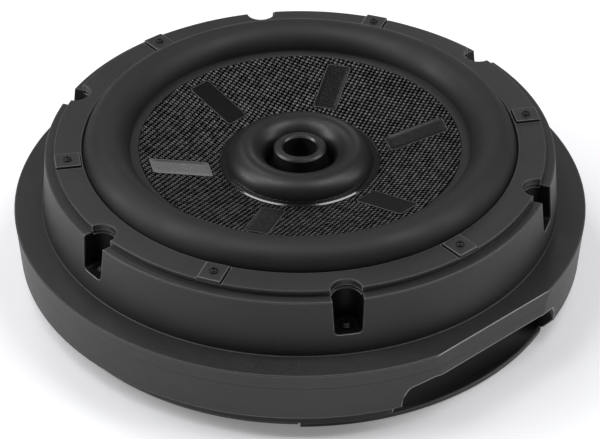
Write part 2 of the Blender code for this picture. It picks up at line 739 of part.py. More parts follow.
def knob_and_pot(name, place, bay):
    """A turning knob whose origin is on its axis, and the pot that holds its shaft."""
    back = 0.1395
    half = 0.0038
    pot = piece(f"{name}_pot", box((back, place.across - half, place.up - half),
                                   (0.1476, place.across + half, place.up + half)), GREY_PLASTIC, bay)
    along = Matrix.Translation((0.0, place.across, place.up)) @ Matrix.Rotation(math.pi / 2, 4, "Y")
    neck = bmesh.new()
    add_cylinder(neck, place.width / 2 - GAP, 0.1460, 0.1506, along)
    join(pot, cutter(f"{name}_neck", neck, bay))
    bore = bmesh.new()
    add_cylinder(bore, 0.0016, 0.1420, 0.1600, along)
    cut(pot, cutter(f"{name}_bore", bore, bay))

    shaft_end = -0.0080
    outline = [(0.0, 0.0072), (0.0028, 0.0072), (0.0034, 0.0064), (0.0034, 0.0), (0.0012, 0.0),
               (0.0012, shaft_end), (0.0, shaft_end)]
    knob = piece(f"{name}_knob", turned(outline, TINY), SATIN_BLACK, bay)
    knob.location = (0.1509, place.across, place.up)
    knob.rotation_euler = (0.0, math.pi / 2, 0.0)
    pointer = cutter(f"{name}_pointer", box((-0.0050, -0.0004, 0.0063), (0.0, 0.0004, 0.0080)), bay)
    pointer.location = knob.location
    pointer.rotation_euler = knob.rotation_euler
    cut(knob, pointer)


def phase_switch(bay):
    """A two-position slide switch. The slider rests at one end of its slot."""
    place = PHASE_SWITCH
    body_half = place.width / 2 + 0.0010
    body = piece("phase_switch_body", box((0.1400, place.across - body_half, place.up - 0.0022),
                                          (0.1476, place.across + body_half, place.up + 0.0022)),
                 GREY_PLASTIC, bay)
    track = box((0.1450, place.across - place.width / 2, place.up - place.height / 2),
                (0.1500, place.across + place.width / 2, place.up + place.height / 2))
    cut(body, cutter("switch_track", track, bay))
    slider_half = (place.width - SWITCH_TRAVEL) / 2 - GAP
    slider_height = place.height / 2 - GAP
    slider = piece("phase_switch_slider", box((-0.0026, -slider_half, -slider_height),
                                              (0.0044, slider_half, slider_height)), WHITE_PLASTIC, bay)
    slider.location = (0.1480, place.across - SWITCH_TRAVEL / 2, place.up)


def connector_panel(bay):
    margin = 0.0004
    panel = piece("connector_panel", box((0.1480, -PANEL_HALF_WIDTH + margin, PANEL_LOW + margin),
                                         (0.1496, PANEL_HALF_WIDTH - margin, PANEL_HIGH - margin)),
                  SATIN_BLACK, bay)
    holes = bmesh.new()
    for place in (POWER_SOCKET, FUSE_HOLDER, SPEAKER_SOCKET, REMOTE_PORT, PHASE_SWITCH):
        low = (0.145, place.across - place.width / 2, place.up - place.height / 2)
        high = (0.155, place.across + place.width / 2, place.up + place.height / 2)
        add_box(holes, low, high)
    for place in (RCA_LEFT, RCA_RIGHT, POWER_LED, *KNOBS.values()):
        along = Matrix.Translation((0.0, place.across, place.up)) @ Matrix.Rotation(math.pi / 2, 4, "Y")
        segments = SMALL // 2 if place.width > 0.006 else TINY
        add_cylinder(holes, place.width / 2, 0.145, 0.155, along, segments)
    cut(panel, cutter("panel_holes", holes, bay))


def connectors(bay):
    power = connector_body("power_socket", POWER_SOCKET, 0.1550, WHITE_PLASTIC, bay)
    cut(power, grid_pockets("power_pins", POWER_SOCKET, 3, 1, 0.0045, 0.1550, 0.008, bay))
    speaker = connector_body("speaker_input_socket", SPEAKER_SOCKET, 0.1540, WHITE_PLASTIC, bay)
    cut(speaker, grid_pockets("speaker_pins", SPEAKER_SOCKET, 2, 2, 0.0028, 0.1540, 0.008, bay))
    remote = connector_body("remote_port", REMOTE_PORT, 0.1520, SATIN_BLACK, bay)
    cut(remote, grid_pockets("remote_pocket", REMOTE_PORT, 1, 1, 0.0050, 0.1520, 0.007, bay))

    holder = connector_body("fuse_holder", FUSE_HOLDER, 0.1520, SATIN_BLACK, bay)
    fuse_slot = box((0.1440, FUSE_HOLDER.across - 0.0024, FUSE_HOLDER.up - 0.0045),
                    (0.1600, FUSE_HOLDER.across + 0.0024, FUSE_HOLDER.up + 0.0045))
    cut(holder, cutter("fuse_slot", fuse_slot, bay))
    piece("fuse", box((0.1443, FUSE_HOLDER.across - 0.0021, FUSE_HOLDER.up - 0.0042),
                      (0.1545, FUSE_HOLDER.across + 0.0021, FUSE_HOLDER.up + 0.0042)), ORANGE_PLASTIC, bay)

    rca_jack("rca_jack_left", RCA_LEFT, WHITE_PLASTIC, bay)
    rca_jack("rca_jack_right", RCA_RIGHT, RED_PLASTIC, bay)

    lens = [(0.0, 0.0030), (0.0008, 0.0028), (0.0012, 0.0020), (0.0012, -0.0050), (0.0, -0.0050)]
    led = piece("power_led", turned(lens, TINY), BLUE_LENS, bay)
    led.location = (0.1490, POWER_LED.across, POWER_LED.up)
    led.rotation_euler = (0.0, math.pi / 2, 0.0)


def main():
    clear_scene()
    bay = bpy.data.objects.new("bay_direction", None)
    bay.rotation_euler = (0.0, 0.0, BAY_ANGLE)
    bpy.context.scene.collection.objects.link(bay)

    wells = well_blocks("wells", WELL_RADIUS, WELL_FLOOR, 0.098)
    flat = flat_block("flat", FLAT_DISTANCE)
    driver_holes = columns("driver_screw_holes", PAD_ANGLES, DRIVER_SCREW_CIRCLE, 0.0019, 0.070, 0.098)
    casing_holes = columns("casing_screw_holes", WELL_ANGLES, WELL_CENTRE, 0.0022, 0.0415, 0.0665)

    upper_casing(wells, flat, driver_holes, casing_holes)
    lower_casing(bay, flat, casing_holes)
    casing_seal()
    connector_tray(bay)

    driver_frame(wells, driver_holes)
    frame_gasket(wells, driver_holes)
    surround()
    cone()
    dust_cap()
    motor()
    hub_sleeve()
    driver_leads(bay)

    casing_screw = screw_mesh("casing_screw", 0.0036, 0.0024, 0.0017, 0.022)
    driver_screw = screw_mesh("driver_screw", 0.0025, 0.0016, 0.0014, 0.019)
    screws("casing_screw", casing_screw, WELL_ANGLES, WELL_CENTRE, WELL_FLOOR + GAP)
    screws("driver_screw", driver_screw, PAD_ANGLES, DRIVER_SCREW_CIRCLE, PAD_TOP + GAP)

    heat_sink_plate(bay)
    circuit_board(bay)
    connector_panel(bay)
    connectors(bay)
    for name, place in KNOBS.items():
        knob_and_pot(name, place, bay)
    phase_switch(bay)


main()
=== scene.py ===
"""Looks of the powered car subwoofer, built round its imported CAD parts.

Metres, +Z up, in the frame of the parts: the origin is in the middle of the resting face, and +Z is
the axis of the loudspeaker. A shape is a pair (points, faces), and a piece is an object made of
shapes. Round pieces are closed outlines of (radius, height) spun about Z. The connector bay has its
own directions: X points out of it, Y runs across it, Z is up.
"""

import json
import math

import bmesh
import bpy
import numpy as np
from mathutils import Matrix, Vector


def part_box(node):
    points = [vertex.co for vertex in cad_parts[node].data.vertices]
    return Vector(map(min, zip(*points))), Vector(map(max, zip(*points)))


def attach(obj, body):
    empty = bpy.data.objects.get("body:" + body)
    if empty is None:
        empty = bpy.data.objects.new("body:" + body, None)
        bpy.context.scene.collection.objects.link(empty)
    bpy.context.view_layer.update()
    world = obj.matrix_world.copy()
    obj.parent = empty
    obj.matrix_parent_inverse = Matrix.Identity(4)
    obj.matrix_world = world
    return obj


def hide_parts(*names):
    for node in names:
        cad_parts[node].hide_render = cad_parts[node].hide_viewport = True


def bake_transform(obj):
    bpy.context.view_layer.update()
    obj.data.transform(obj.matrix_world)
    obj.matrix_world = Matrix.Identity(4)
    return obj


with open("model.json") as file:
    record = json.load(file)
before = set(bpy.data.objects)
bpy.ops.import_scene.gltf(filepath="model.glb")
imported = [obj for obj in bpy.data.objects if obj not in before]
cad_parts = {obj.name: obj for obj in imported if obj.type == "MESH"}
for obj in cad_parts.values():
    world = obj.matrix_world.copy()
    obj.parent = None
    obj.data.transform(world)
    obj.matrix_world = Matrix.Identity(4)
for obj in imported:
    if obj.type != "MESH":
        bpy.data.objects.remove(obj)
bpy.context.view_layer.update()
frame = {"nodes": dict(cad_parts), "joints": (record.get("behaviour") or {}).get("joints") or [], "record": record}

MM = 0.001
GAP = 0.0003  # air that the CAD leaves between pieces that touch
ROUND = 240  # facets of a large ring
RIM = 96  # facets of a ring near the axis
SMALL = 40  # facets of a knob or a screw

JOINTS = {joint["name"]: joint for joint in frame["joints"]}
BODIES = {node: body for body, nodes in frame["record"]["behaviour"]["bodies"].items() for node in nodes}


# What the frame says


def cad_points(node, matrix=Matrix.Identity(4)):
    """The node's vertices, seen in the directions of matrix."""
    points = np.array([vertex.co for vertex in frame["nodes"][node].data.vertices])
    turn = np.array(matrix.inverted())
    return points @ turn[:3, :3].T + turn[:3, 3]


def span(node, matrix=Matrix.Identity(4)):
    """Lowest and highest corner of the node, seen in the directions of matrix."""
    points = cad_points(node, matrix)
    return Vector(points.min(axis=0)), Vector(points.max(axis=0))


def reach(node, low=-1.0, high=1.0):
    """Least and greatest distance from the axis of the node's vertices between two heights."""
    points = cad_points(node)
    between = (points[:, 2] >= low) & (points[:, 2] <= high)
    distance = np.hypot(points[between, 0], points[between, 1])
    return float(distance.min()), float(distance.max())


def centre_of(node, matrix=Matrix.Identity(4)):
    low, high = span(node, matrix)
    return (low + high) / 2


def polar(node):
    """Angle and distance from the axis of the middle of the node."""
    middle = centre_of(node)
    return math.atan2(middle.y, middle.x), math.hypot(middle.x, middle.y)


def spoke(angle, distance=0.0, height=0.0):
    """The frame whose X axis points along the angle, that far out and that high."""
    return Matrix.Rotation(angle, 4, "Z") @ Matrix.Translation((distance, 0.0, height))


def bay_frame():
    axis = JOINTS["level_turn"]["axis"]
    return Matrix.Rotation(math.atan2(axis[1], axis[0]), 4, "Z")


BAY = bay_frame()
BAY_TURN = BAY.to_euler().z
OUTWARD = Matrix.Rotation(math.pi / 2, 4, "Y")
KNOBS = [f"{joint[:-5]}_knob" for joint in JOINTS if joint.endswith("_turn")]
WELLS = [polar(f"casing_screw_{number}") for number in range(1, 7)]
PADS = [polar(f"driver_screw_{number}") for number in range(1, 7)]

# Casing
FLANGE_RADIUS = reach("upper_casing")[1]
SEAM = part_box("upper_casing")[0].z
DRUM_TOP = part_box("upper_casing")[1].z
FLANGE_TOP = 0.050
SEAM_RADIUS = FLANGE_RADIUS - 0.8 * MM
SEAM_OVERLAP = 0.27 * MM  # how far each half grows into the CAD's gap, to leave a hairline
DRUM_FOOT_RADIUS = FLANGE_RADIUS - 18.5 * MM
DRUM_TOP_RADIUS = FLANGE_RADIUS - 22.2 * MM
SEAT_RADIUS = FLANGE_RADIUS - 29.0 * MM
OPENING_RADIUS = FLANGE_RADIUS - 46.5 * MM
SEAT = DRUM_TOP - 2.0 * MM
WALL = 3.0 * MM
FLAT_ANGLE = math.radians(-49.0)
FLAT_DISTANCE = FLANGE_RADIUS - 6.2 * MM
BASE_RADIUS = FLANGE_RADIUS - 14.0 * MM
SKIRT_RADIUS = FLANGE_RADIUS - 10.4 * MM
WALL_FOOT_RADIUS = FLANGE_RADIUS - 2.1 * MM
WALL_FOOT = 14.6 * MM
BAY_SIDE = 5.8 * MM  # from the end of the connector panel to the side of the bay
BEYOND = 200 * MM  # farther from the axis than any wall
TRAY_RIM = 3.8 * MM  # height of the tray's lip
TRAY_LIP = 6.7 * MM  # breadth of the tray's lip

# Wells that hold the casing screws
CASING_HEAD = 2.4 * MM
WELL_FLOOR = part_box("casing_screw_1")[1].z - CASING_HEAD - GAP
WELL_MOUTH = 9.5 * MM  # half its width at the top
WELL_FOOT = 8.1 * MM  # half its width at the floor, before the corners round it
WELL_CORNER = 2.6 * MM
CASING_HOLE = 2.2 * MM  # radius of the hole for a casing screw
HOLE_TOP = 66 * MM  # where the cutters for those holes end

# Driver
FRAME_RADIUS = reach("driver_frame", DRUM_TOP, DRUM_TOP + 3.5 * MM)[1]
PAD_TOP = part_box("driver_frame")[1].z
FRAME_TOP = PAD_TOP - 1.5 * MM
FRAME_BOTTOM = DRUM_TOP + 0.1 * MM
ROLL_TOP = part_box("surround")[1].z
ROLL_RADIUS = 14.8 * MM
ROLL_CENTRE = (124.3 * MM, ROLL_TOP - ROLL_RADIUS)
CONE_RIM = (103.5 * MM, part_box("cone")[1].z)
CONE_INNER = (52.2 * MM, CONE_RIM[1] - 13.1 * MM)
NECK_RADIUS = reach("cone")[0]
BARS = [math.radians(14.0 + 60.0 * number) for number in range(6)]
BAR_WIDTH = 16.0 * MM
BAR_ENDS = (59.0 * MM, 97.5 * MM)
DRIVER_HEAD = 1.6 * MM


# Shapes


def rounded(corners, steps=5):
    """A closed outline from (x, y, radius) corners, each rounded with its own radius."""
    outline = []
    for index, (x, y, radius) in enumerate(corners):
        corner = Vector((x, y))
        if radius == 0.0:
            outline.append(corner)
            continue
        back = (Vector(corners[index - 1][:2]) - corner).normalized()
        onward = (Vector(corners[(index + 1) % len(corners)][:2]) - corner).normalized()
        half = back.angle(onward) / 2
        centre = corner + (back + onward).normalized() * radius / math.sin(half)
        first = corner + back * radius / math.tan(half) - centre
        last = corner + onward * radius / math.tan(half) - centre
        sweep = first.angle_signed(last)
        for step in range(steps + 1):
            outline.append(centre + Matrix.Rotation(-sweep * step / steps, 2) @ first)
    return outline


def arc(centre, radius, start, end, steps):
    """Points of a circular arc, with its angles in degrees."""
    angles = [math.radians(start + (end - start) * step / steps) for step in range(steps + 1)]
    return [Vector((centre[0] + radius * math.cos(a), centre[1] + radius * math.sin(a))) for a in angles]


def skin(rings, closed=False):
    """The surface over rings of points, with the last ring joined to the first or both ends filled."""
    count = len(rings[0])
    points = [point for ring in rings for point in ring]
    faces = []
    for index in range(len(rings) if closed else len(rings) - 1):
        here = index * count
        there = (index + 1) % len(rings) * count
        for k in range(count):
            after = (k + 1) % count
            faces.append((here + k, here + after, there + after, there + k))
    if not closed:
        faces.append(tuple(reversed(range(count))))
        faces.append(tuple(range(len(points) - count, len(points))))
    return points, faces


def moved(shape, matrix):
    points, faces = shape
    return [matrix @ Vector(point) for point in points], faces


def at_height(outline, height, matrix=Matrix.Identity(4)):
    """One ring of a skin: an (x, y) outline lifted to a height."""
    return [matrix @ Vector((x, y, height)) for x, y in outline]


def circle(radius, height, segments):
    angles = [math.tau * k / segments for k in range(segments)]
    return [Vector((radius * math.cos(a), radius * math.sin(a), height)) for a in angles]


def spin(outline, segments=ROUND, closed=True):
    """The solid swept by a closed outline, or under an open one that starts and ends by the axis."""
    return skin([circle(radius, height, segments) for radius, height in outline], closed)


def turned(outline, matrix):
    """The solid under an open outline, spun about the Z axis of matrix."""
    return moved(spin(outline, SMALL, closed=False), matrix)


def sweep(outline, start, end, steps):
    """A closed outline of (radius, height) swept about Z between two angles in degrees."""
    angles = [math.radians(start + (end - start) * step / steps) for step in range(steps + 1)]
    return skin([[Vector((r * math.cos(a), r * math.sin(a), z)) for r, z in outline] for a in angles])


def fluted(outline, flutes, depth, segments=RIM):
    """Like spin, for an open outline of (radius, height, share of the flutes' depth)."""
    rings = []
    for radius, height, share in outline:
        ring = []
        for x, y, z in circle(1.0, height, segments):
            wave = 0.5 - 0.5 * math.cos(flutes * math.atan2(y, x))
            reduced = radius - depth * share * wave
            ring.append(Vector((x * reduced, y * reduced, z)))
        rings.append(ring)
    return skin(rings)


def smooth_path(points, steps=8):
    """A Catmull-Rom curve through the points."""
    ends = [points[0] * 2 - points[1], *points, points[-1] * 2 - points[-2]]
    path = []
    for a, b, c, d in zip(ends, ends[1:], ends[2:], ends[3:]):
        for step in range(steps):
            t = step / steps
            path.append(0.5 * (2 * b + (c - a) * t + (2 * a - 5 * b + 4 * c - d) * t ** 2
                               + (3 * b - a - 3 * c + d) * t ** 3))
    return path + [points[-1]]


def tube(path, radius, segments=12, aside=0.0, strands=0, pitch=1.0):
    """A round cord along a path, moved aside from it, with a number of strands twisted with a pitch."""
    rings = []
    turned = (path[1] - path[0]).to_track_quat("Z", "Y")
    travelled = 0.0
    for index, point in enumerate(path):
        ahead = path[min(index + 1, len(path) - 1)] - path[max(index - 1, 0)]
        bend = (turned @ Vector((0.0, 0.0, 1.0))).rotation_difference(ahead)
        turned = bend @ turned
        travelled += (point - path[max(index - 1, 0)]).length
        ring = []
        for x, y, _ in circle(1.0, 0.0, segments):
            phase = strands * (math.atan2(y, x) + math.tau * travelled / pitch)
            size = radius * (1.0 - 0.14 * (0.5 - 0.5 * math.cos(phase)) * bool(strands))
            ring.append(point + turned @ Vector((x * size + aside, y * size, 0.0)))
        rings.append(ring)
    return skin(rings)


def prism(outline, low, high, matrix=Matrix.Identity(4)):
    """An (x, y) outline extruded along Z."""
    return skin([at_height(outline, height, matrix) for height in (low, high)])


def rod(radius, low, high, matrix=Matrix.Identity(4), segments=24):
    """A round bar along Z."""
    return prism([(x, y) for x, y, _ in circle(radius, 0.0, segments)], low, high, matrix)


def ring_section(inner, outer, low, high, corner, steps=3):
    """The outline of a plain ring with four equal corners."""
    corners = ((inner, low), (outer, low), (outer, high), (inner, high))
    return rounded([(*place_at, corner) for place_at in corners], steps)


def rectangle(width, depth, corner, steps=4):
    x, y = width / 2, depth / 2
    return rounded([(x, y, corner), (-x, y, corner), (-x, -y, corner), (x, -y, corner)], steps)


def slab(size, corner, fillet, matrix=Matrix.Identity(4)):
    """A block of the given size on Z = 0, its upright edges rounded by corner and the others by fillet."""
    width, depth, height = size
    rings = []
    for level, sign in ((fillet, -1.0), (height - fillet, 1.0)):
        angles = (90.0, 60.0, 30.0, 0.0) if sign < 0.0 else (0.0, 30.0, 60.0, 90.0)
        for angle in angles:
            inset = fillet * (1.0 - math.cos(math.radians(angle)))
            z = level + sign * fillet * math.sin(math.radians(angle))
            outline = rectangle(width - 2 * inset, depth - 2 * inset, max(corner - inset, 0.02 * MM))
            rings.append(at_height(outline, z, matrix))
    return skin(rings)


def bay_slab(low, high, corner=0.3 * MM, fillet=0.25 * MM):
    """A rounded block between two corners given in the bay's directions, standing along X."""
    size = (high[2] - low[2], high[1] - low[1], high[0] - low[0])
    middle = Matrix.Translation((low[0], (low[1] + high[1]) / 2, (low[2] + high[2]) / 2))
    return slab(size, corner, fillet, BAY @ middle @ OUTWARD)


def bay_plate(low, high, corner=0.3 * MM, fillet=0.2 * MM):
    """A rounded block between two corners given in the bay's directions, lying flat."""
    size = (high[0] - low[0], high[1] - low[1], high[2] - low[2])
    middle = Matrix.Translation(((low[0] + high[0]) / 2, (low[1] + high[1]) / 2, low[2]))
    return slab(size, corner, fillet, BAY @ middle)


def bay_axle(node, out=0.0):
    """The frame on the axis of a node in the panel, with Z out of the bay, that far out."""
    middle = centre_of(node, BAY)
    return BAY @ Matrix.Translation((out, middle.y, middle.z)) @ OUTWARD


def piece(name, shapes, material=None, sharp=32.0):
    """An object made of shapes, smooth but for edges sharper than the given angle."""
    bm = bmesh.new()
    for points, faces in shapes:
        vertices = [bm.verts.new(point) for point in points]
        for face in faces:
            bm.faces.new([vertices[index] for index in face])
    bmesh.ops.recalc_face_normals(bm, faces=bm.faces)
    mesh = bpy.data.meshes.new(name)
    bm.to_mesh(mesh)
    bm.free()
    obj = bpy.data.objects.new(name, mesh)
    bpy.context.scene.collection.objects.link(obj)
    if material:
        mesh.materials.append(material)
    smooth(obj, sharp)
    return obj


def smooth(obj, sharp=32.0):
    obj.data.shade_smooth()
    obj.data.set_sharp_from_angle(angle=math.radians(sharp))


def weigh_normals(obj):
    """Keep large flat faces flat beside the small ones that round their edges."""
    modifier = obj.modifiers.new("normals", "WEIGHTED_NORMAL")
    modifier.keep_sharp = True


def carve(obj, shapes, operation="DIFFERENCE", material=None):
    """Cut shapes out of the object, or join them to it, with the given material on the new faces."""
    tool = piece("tool", shapes, material)
    modifier = obj.modifiers.new("carve", "BOOLEAN")
    modifier.operation = operation
    if material:
        modifier.material_mode = "TRANSFER"
    modifier.object = tool
    result = bpy.data.meshes.new_from_object(obj.evaluated_get(bpy.context.evaluated_depsgraph_get()))
    obj.modifiers.clear()
    obj.data = result
    bpy.data.objects.remove(tool)
    smooth(obj)


def place(obj, node):
    """Let the piece ride with the CAD node's body, and stand for it."""
    add(obj, node)
    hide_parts(node)


def add(obj, node):
    """Let the piece ride with the CAD node's body, beside the piece that stands for it."""
    weigh_normals(obj)
    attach(obj, BODIES[node])


# Materials


class Look:
    """A procedural material: a Principled shader and the nodes that drive it."""

    def __init__(self, name, roughness=0.5, metallic=0.0, **settings):
        self.material = bpy.data.materials.new(name)
        self.material.use_nodes = True
        self.nodes = self.material.node_tree.nodes
        self.links = self.material.node_tree.links
        self.shader = self.nodes["Principled BSDF"]
        self.shader.inputs["Roughness"].default_value = roughness
        self.shader.inputs["Metallic"].default_value = metallic
        for socket, value in settings.items():
            self.shader.inputs[socket.replace("_", " ")].default_value = value

    def node(self, kind, **inputs):
        """A node with its inputs set to values or linked to sockets."""
        made = self.nodes.new("ShaderNode" + kind)
        for socket, value in inputs.items():
            self.feed(made.inputs[socket.replace("_", " ")], value)
        return made

    def feed(self, socket, value):
        if isinstance(value, bpy.types.NodeSocket):
            self.links.new(value, socket)
        else:
            socket.default_value = value

    def where(self, scale=(1.0, 1.0, 1.0), turn=0.0):
        """The place on the object, turned about Z and stretched."""
        source = self.node("TexCoord").outputs["Object"]
        mapping = self.node("Mapping", Vector=source, Rotation=(0.0, 0.0, turn), Scale=scale)
        mapping.vector_type = "TEXTURE" if turn else "POINT"
        return mapping.outputs["Vector"]

    def noise(self, size, detail=2.0, vector=None, roughness=0.5):
        made = self.node("TexNoise", Vector=vector or self.where(), Scale=1.0 / size, Detail=detail,
                         Roughness=roughness)
        return made.outputs["Fac"]

    def cells(self, size, feature="F1"):
        made = self.node("TexVoronoi", Vector=self.where(), Scale=1.0 / size)
        made.feature = feature
        return made.outputs["Distance"]

    def math(self, operation, first, second=0.0):
        made = self.node("Math")
        made.operation = operation
        self.feed(made.inputs[0], first)
        self.feed(made.inputs[1], second)
        return made.outputs[0]

    def between(self, factor, low, high, start=0.0, end=1.0):
        """A value from low to high while factor goes from start to end."""
        made = self.node("MapRange", Value=factor, From_Min=start, From_Max=end, To_Min=low, To_Max=high)
        return made.outputs["Result"]

    def mix(self, factor, first, second):
        """A colour between two that are sockets, (red, green, blue) or a number for a shade of grey."""
        made = self.node("MixRGB", Fac=factor)
        for socket, colour in (("Color1", first), ("Color2", second)):
            if isinstance(colour, float):
                colour = (colour, colour, colour * 1.03)
            self.feed(made.inputs[socket], (*colour, 1.0) if isinstance(colour, tuple) else colour)
        return made.outputs["Color"]

    def set(self, **inputs):
        for socket, value in inputs.items():
            self.feed(self.shader.inputs[socket.replace("_", " ")], value)

    def edges(self, width):
        """1 along the edges of the shape and 0 a little way off them."""
        bevel = self.node("Bevel", Radius=width)
        bevel.samples = 8
        normal = self.node("NewGeometry").outputs["Normal"]
        dot = self.node("VectorMath")
        dot.operation = "DOT_PRODUCT"
        self.links.new(bevel.outputs["Normal"], dot.inputs[0])
        self.links.new(normal, dot.inputs[1])
        rounded_most, flat = 0.93, 0.998  # cosines between the rounded and the true normal
        return self.between(dot.outputs["Value"], 1.0, 0.0, rounded_most, flat)

    def openness(self, distance):
        """0 deep in a recess and 1 where nothing is near."""
        made = self.node("AmbientOcclusion", Distance=distance)
        made.samples = 6
        made.only_local = True
        return made.outputs["AO"]

    def outer_edges(self, width, open_air):
        """Like edges, but without the inner corners, and without the seam of the casing."""
        height = self.node("SeparateXYZ", Vector=self.where()).outputs["Z"]
        from_seam = self.math("ABSOLUTE", self.math("SUBTRACT", height, SEAM))
        off_seam = self.between(from_seam, 0.0, 1.0, 2.0 * MM, 3.5 * MM)
        convex = self.math("MULTIPLY", self.between(open_air, 0.0, 1.0, 0.62, 0.85), off_seam)
        return self.math("MULTIPLY", self.edges(width), convex)

    def relief(self, height, depth, edge=0.0):
        """Bump of the given depth, over edges that look rounded by edge."""
        bump = self.node("Bump", Height=height, Distance=depth, Strength=1.0)
        if edge:
            bevel = self.node("Bevel", Radius=edge)
            bevel.samples = 6
            self.links.new(bevel.outputs["Normal"], bump.inputs["Normal"])
        self.links.new(bump.outputs["Normal"], self.shader.inputs["Normal"])


RECESS = 14 * MM  # how wide a recess still lies in shade
WORN_ROUGHNESS = 0.28


def moulded(name, low, high, roughness, grain=0.9 * MM, depth=0.03 * MM, edge=0.35 * MM, edge_wear_and_highlight=None,
            gloss=0.5, **settings):
    """Moulded plastic: a fine even grain, faint clouds in the colour and softened edges. Given an edge colour, it
    lightens the edges, partly as slight wear and partly as painted highlight, and gives recesses painted shade and
    weaker reflections.
    """
    look = Look(name, roughness, **settings)
    fine = look.noise(grain, 3.0)
    clouds = look.noise(60 * MM, 3.0)
    tint = look.math("ADD", look.math("MULTIPLY", fine, 0.5), look.math("MULTIPLY", clouds, 0.5))
    colour = look.mix(look.between(tint, 0.0, 1.0, 0.3, 0.7), low, high)
    dull = look.between(fine, roughness - 0.08, roughness + 0.08, 0.3, 0.7)
    if edge_wear_and_highlight:
        # Painted shade in recesses: the colour darkens towards black and the reflection weakens where the
        # occlusion finds walls close by.
        open_air = look.openness(RECESS)
        shade = look.between(open_air, 0.0, 1.0, 0.1, 0.6)
        edges = look.outer_edges(2.6 * edge, open_air)
        # The edge colour lightens the edges, partly as wear and partly as painted highlight.
        colour = look.mix(edges, look.mix(shade, 0.001, colour), edge_wear_and_highlight)
        dull = look.mix(edges, dull, WORN_ROUGHNESS)
        look.set(Specular_IOR_Level=look.between(shade, 0.2 * gloss, gloss))
    look.set(Base_Color=colour, Roughness=dull)
    look.relief(fine, depth, edge)
    return look.material


def rubber():
    look = Look("black_rubber", 0.62)
    fine = look.noise(0.8 * MM, 4.0)
    clouds = look.noise(35 * MM, 4.0)
    look.set(Base_Color=look.mix(clouds, 0.007, 0.011))
    look.set(Roughness=look.between(clouds, 0.5, 0.66, 0.3, 0.7))
    look.relief(fine, 0.02 * MM)
    return look.material


def woven():
    """Lacquered fibre, streaked along the threads, with painted shade in the gaps between them and painted
    highlights on their crowns.
    """
    look = Look("woven_fibre", 0.30)
    threads = look.node("Attribute")
    threads.attribute_name = "crown"
    crown = threads.outputs["Fac"]
    strands = look.noise(0.45 * MM, 2.0)
    # Painted shade and highlight: colour and reflection go from none in the gaps to bright on the crowns.
    raised = look.between(crown, 0.0, 1.0, 0.56, 0.92)
    look.set(Base_Color=look.mix(look.math("MULTIPLY", raised, strands), 0.0003, 0.12))
    look.set(Roughness=look.between(raised, 0.40, 0.15))
    look.set(Specular_IOR_Level=look.between(raised, 0.0, 1.0))
    look.relief(strands, 0.012 * MM)
    return look.material


def turned_metal(name, low, high, roughness, metallic=0.9, depth=0.01 * MM, edge=0.2 * MM):
    """Metal turned on a lathe: fine rings round the axis and a few stains."""
    look = Look(name, roughness, metallic)
    rings = look.node("TexWave", Vector=look.where(), Scale=900.0, Distortion=1.5, Detail=2.0)
    rings.wave_type = "RINGS"
    rings.rings_direction = "Z"
    stains = look.noise(9 * MM, 4.0)
    look.set(Base_Color=look.mix(stains, low, high))
    look.set(Roughness=look.between(stains, roughness - 0.08, roughness + 0.1, 0.3, 0.7))
    look.relief(rings.outputs["Fac"], depth, edge)
    return look.material


def brushed_metal(name, low, high, roughness, edge=0.15 * MM):
    """Sheet metal with fine scratches in one direction and a few stains."""
    look = Look(name, roughness, 0.9)
    scratches = look.noise(0.25 * MM, 2.0, look.where((1.0, 0.04, 1.0), BAY_TURN))
    stains = look.noise(7 * MM, 4.0)
    look.set(Base_Color=look.mix(stains, low, high))
    look.set(Roughness=look.between(scratches, roughness - 0.1, roughness + 0.1, 0.3, 0.7))
    look.relief(scratches, 0.006 * MM, edge)
    return look.material


def wound_wire(name, low, high):
    """Lacquered copper wire."""
    look = Look(name, 0.28, 0.9, Coat_Weight=0.4)
    tint = look.noise(2.5 * MM, 3.0)
    look.set(Base_Color=look.mix(tint, low, high))
    look.relief(look.noise(0.4 * MM), 0.01 * MM)
    return look.material


def cloth():
    """Resin-soaked woven cotton."""
    look = Look("spider_cloth", 0.85)
    warp = look.node("TexWave", Vector=look.where(), Scale=420.0, Distortion=0.6)
    weft = look.node("TexWave", Vector=look.where(), Scale=420.0, Distortion=0.6)
    weft.bands_direction = "Y"
    weave = look.math("MULTIPLY", warp.outputs["Fac"], weft.outputs["Fac"])
    clouds = look.noise(12 * MM, 4.0)
    tint = look.math("ADD", look.math("MULTIPLY", weave, 0.5), look.math("MULTIPLY", clouds, 0.5))
    look.set(Base_Color=look.mix(tint, (0.30, 0.20, 0.08), (0.55, 0.42, 0.22)))
    look.relief(weave, 0.12 * MM)
    return look.material


def ferrite():
    """Sintered magnet: dull, with pits and paler scuffs."""
    look = Look("ferrite_grey", 0.72, 0.1)
    pits = look.cells(1.6 * MM)
    scuffs = look.noise(9 * MM, 6.0, roughness=0.7)
    look.set(Base_Color=look.mix(look.between(scuffs, 0.0, 1.0, 0.45, 0.7), 0.03, 0.08))
    look.relief(pits, 0.05 * MM, 0.5 * MM)
    return look.material


def circuit_board_look():
    """Green solder mask over broad copper tracks, with bare dots."""
    look = Look("board_green", 0.4, Coat_Weight=0.3)
    across = look.node("TexWave", Vector=look.where((1, 1, 1), BAY_TURN), Scale=55.0, Distortion=3.0,
                       Detail=0.0)
    tracks = look.between(across.outputs["Fac"], 0.0, 1.0, 0.48, 0.54)
    dots = look.between(look.cells(4.5 * MM), 1.0, 0.0, 0.11, 0.14)
    mask = look.mix(tracks, (0.008, 0.075, 0.026), (0.018, 0.15, 0.05))
    look.set(Base_Color=look.mix(dots, mask, (0.55, 0.52, 0.42)), Metallic=look.math("MULTIPLY", dots, 0.8))
    look.relief(tracks, 0.05 * MM, 0.2 * MM)
    return look.material


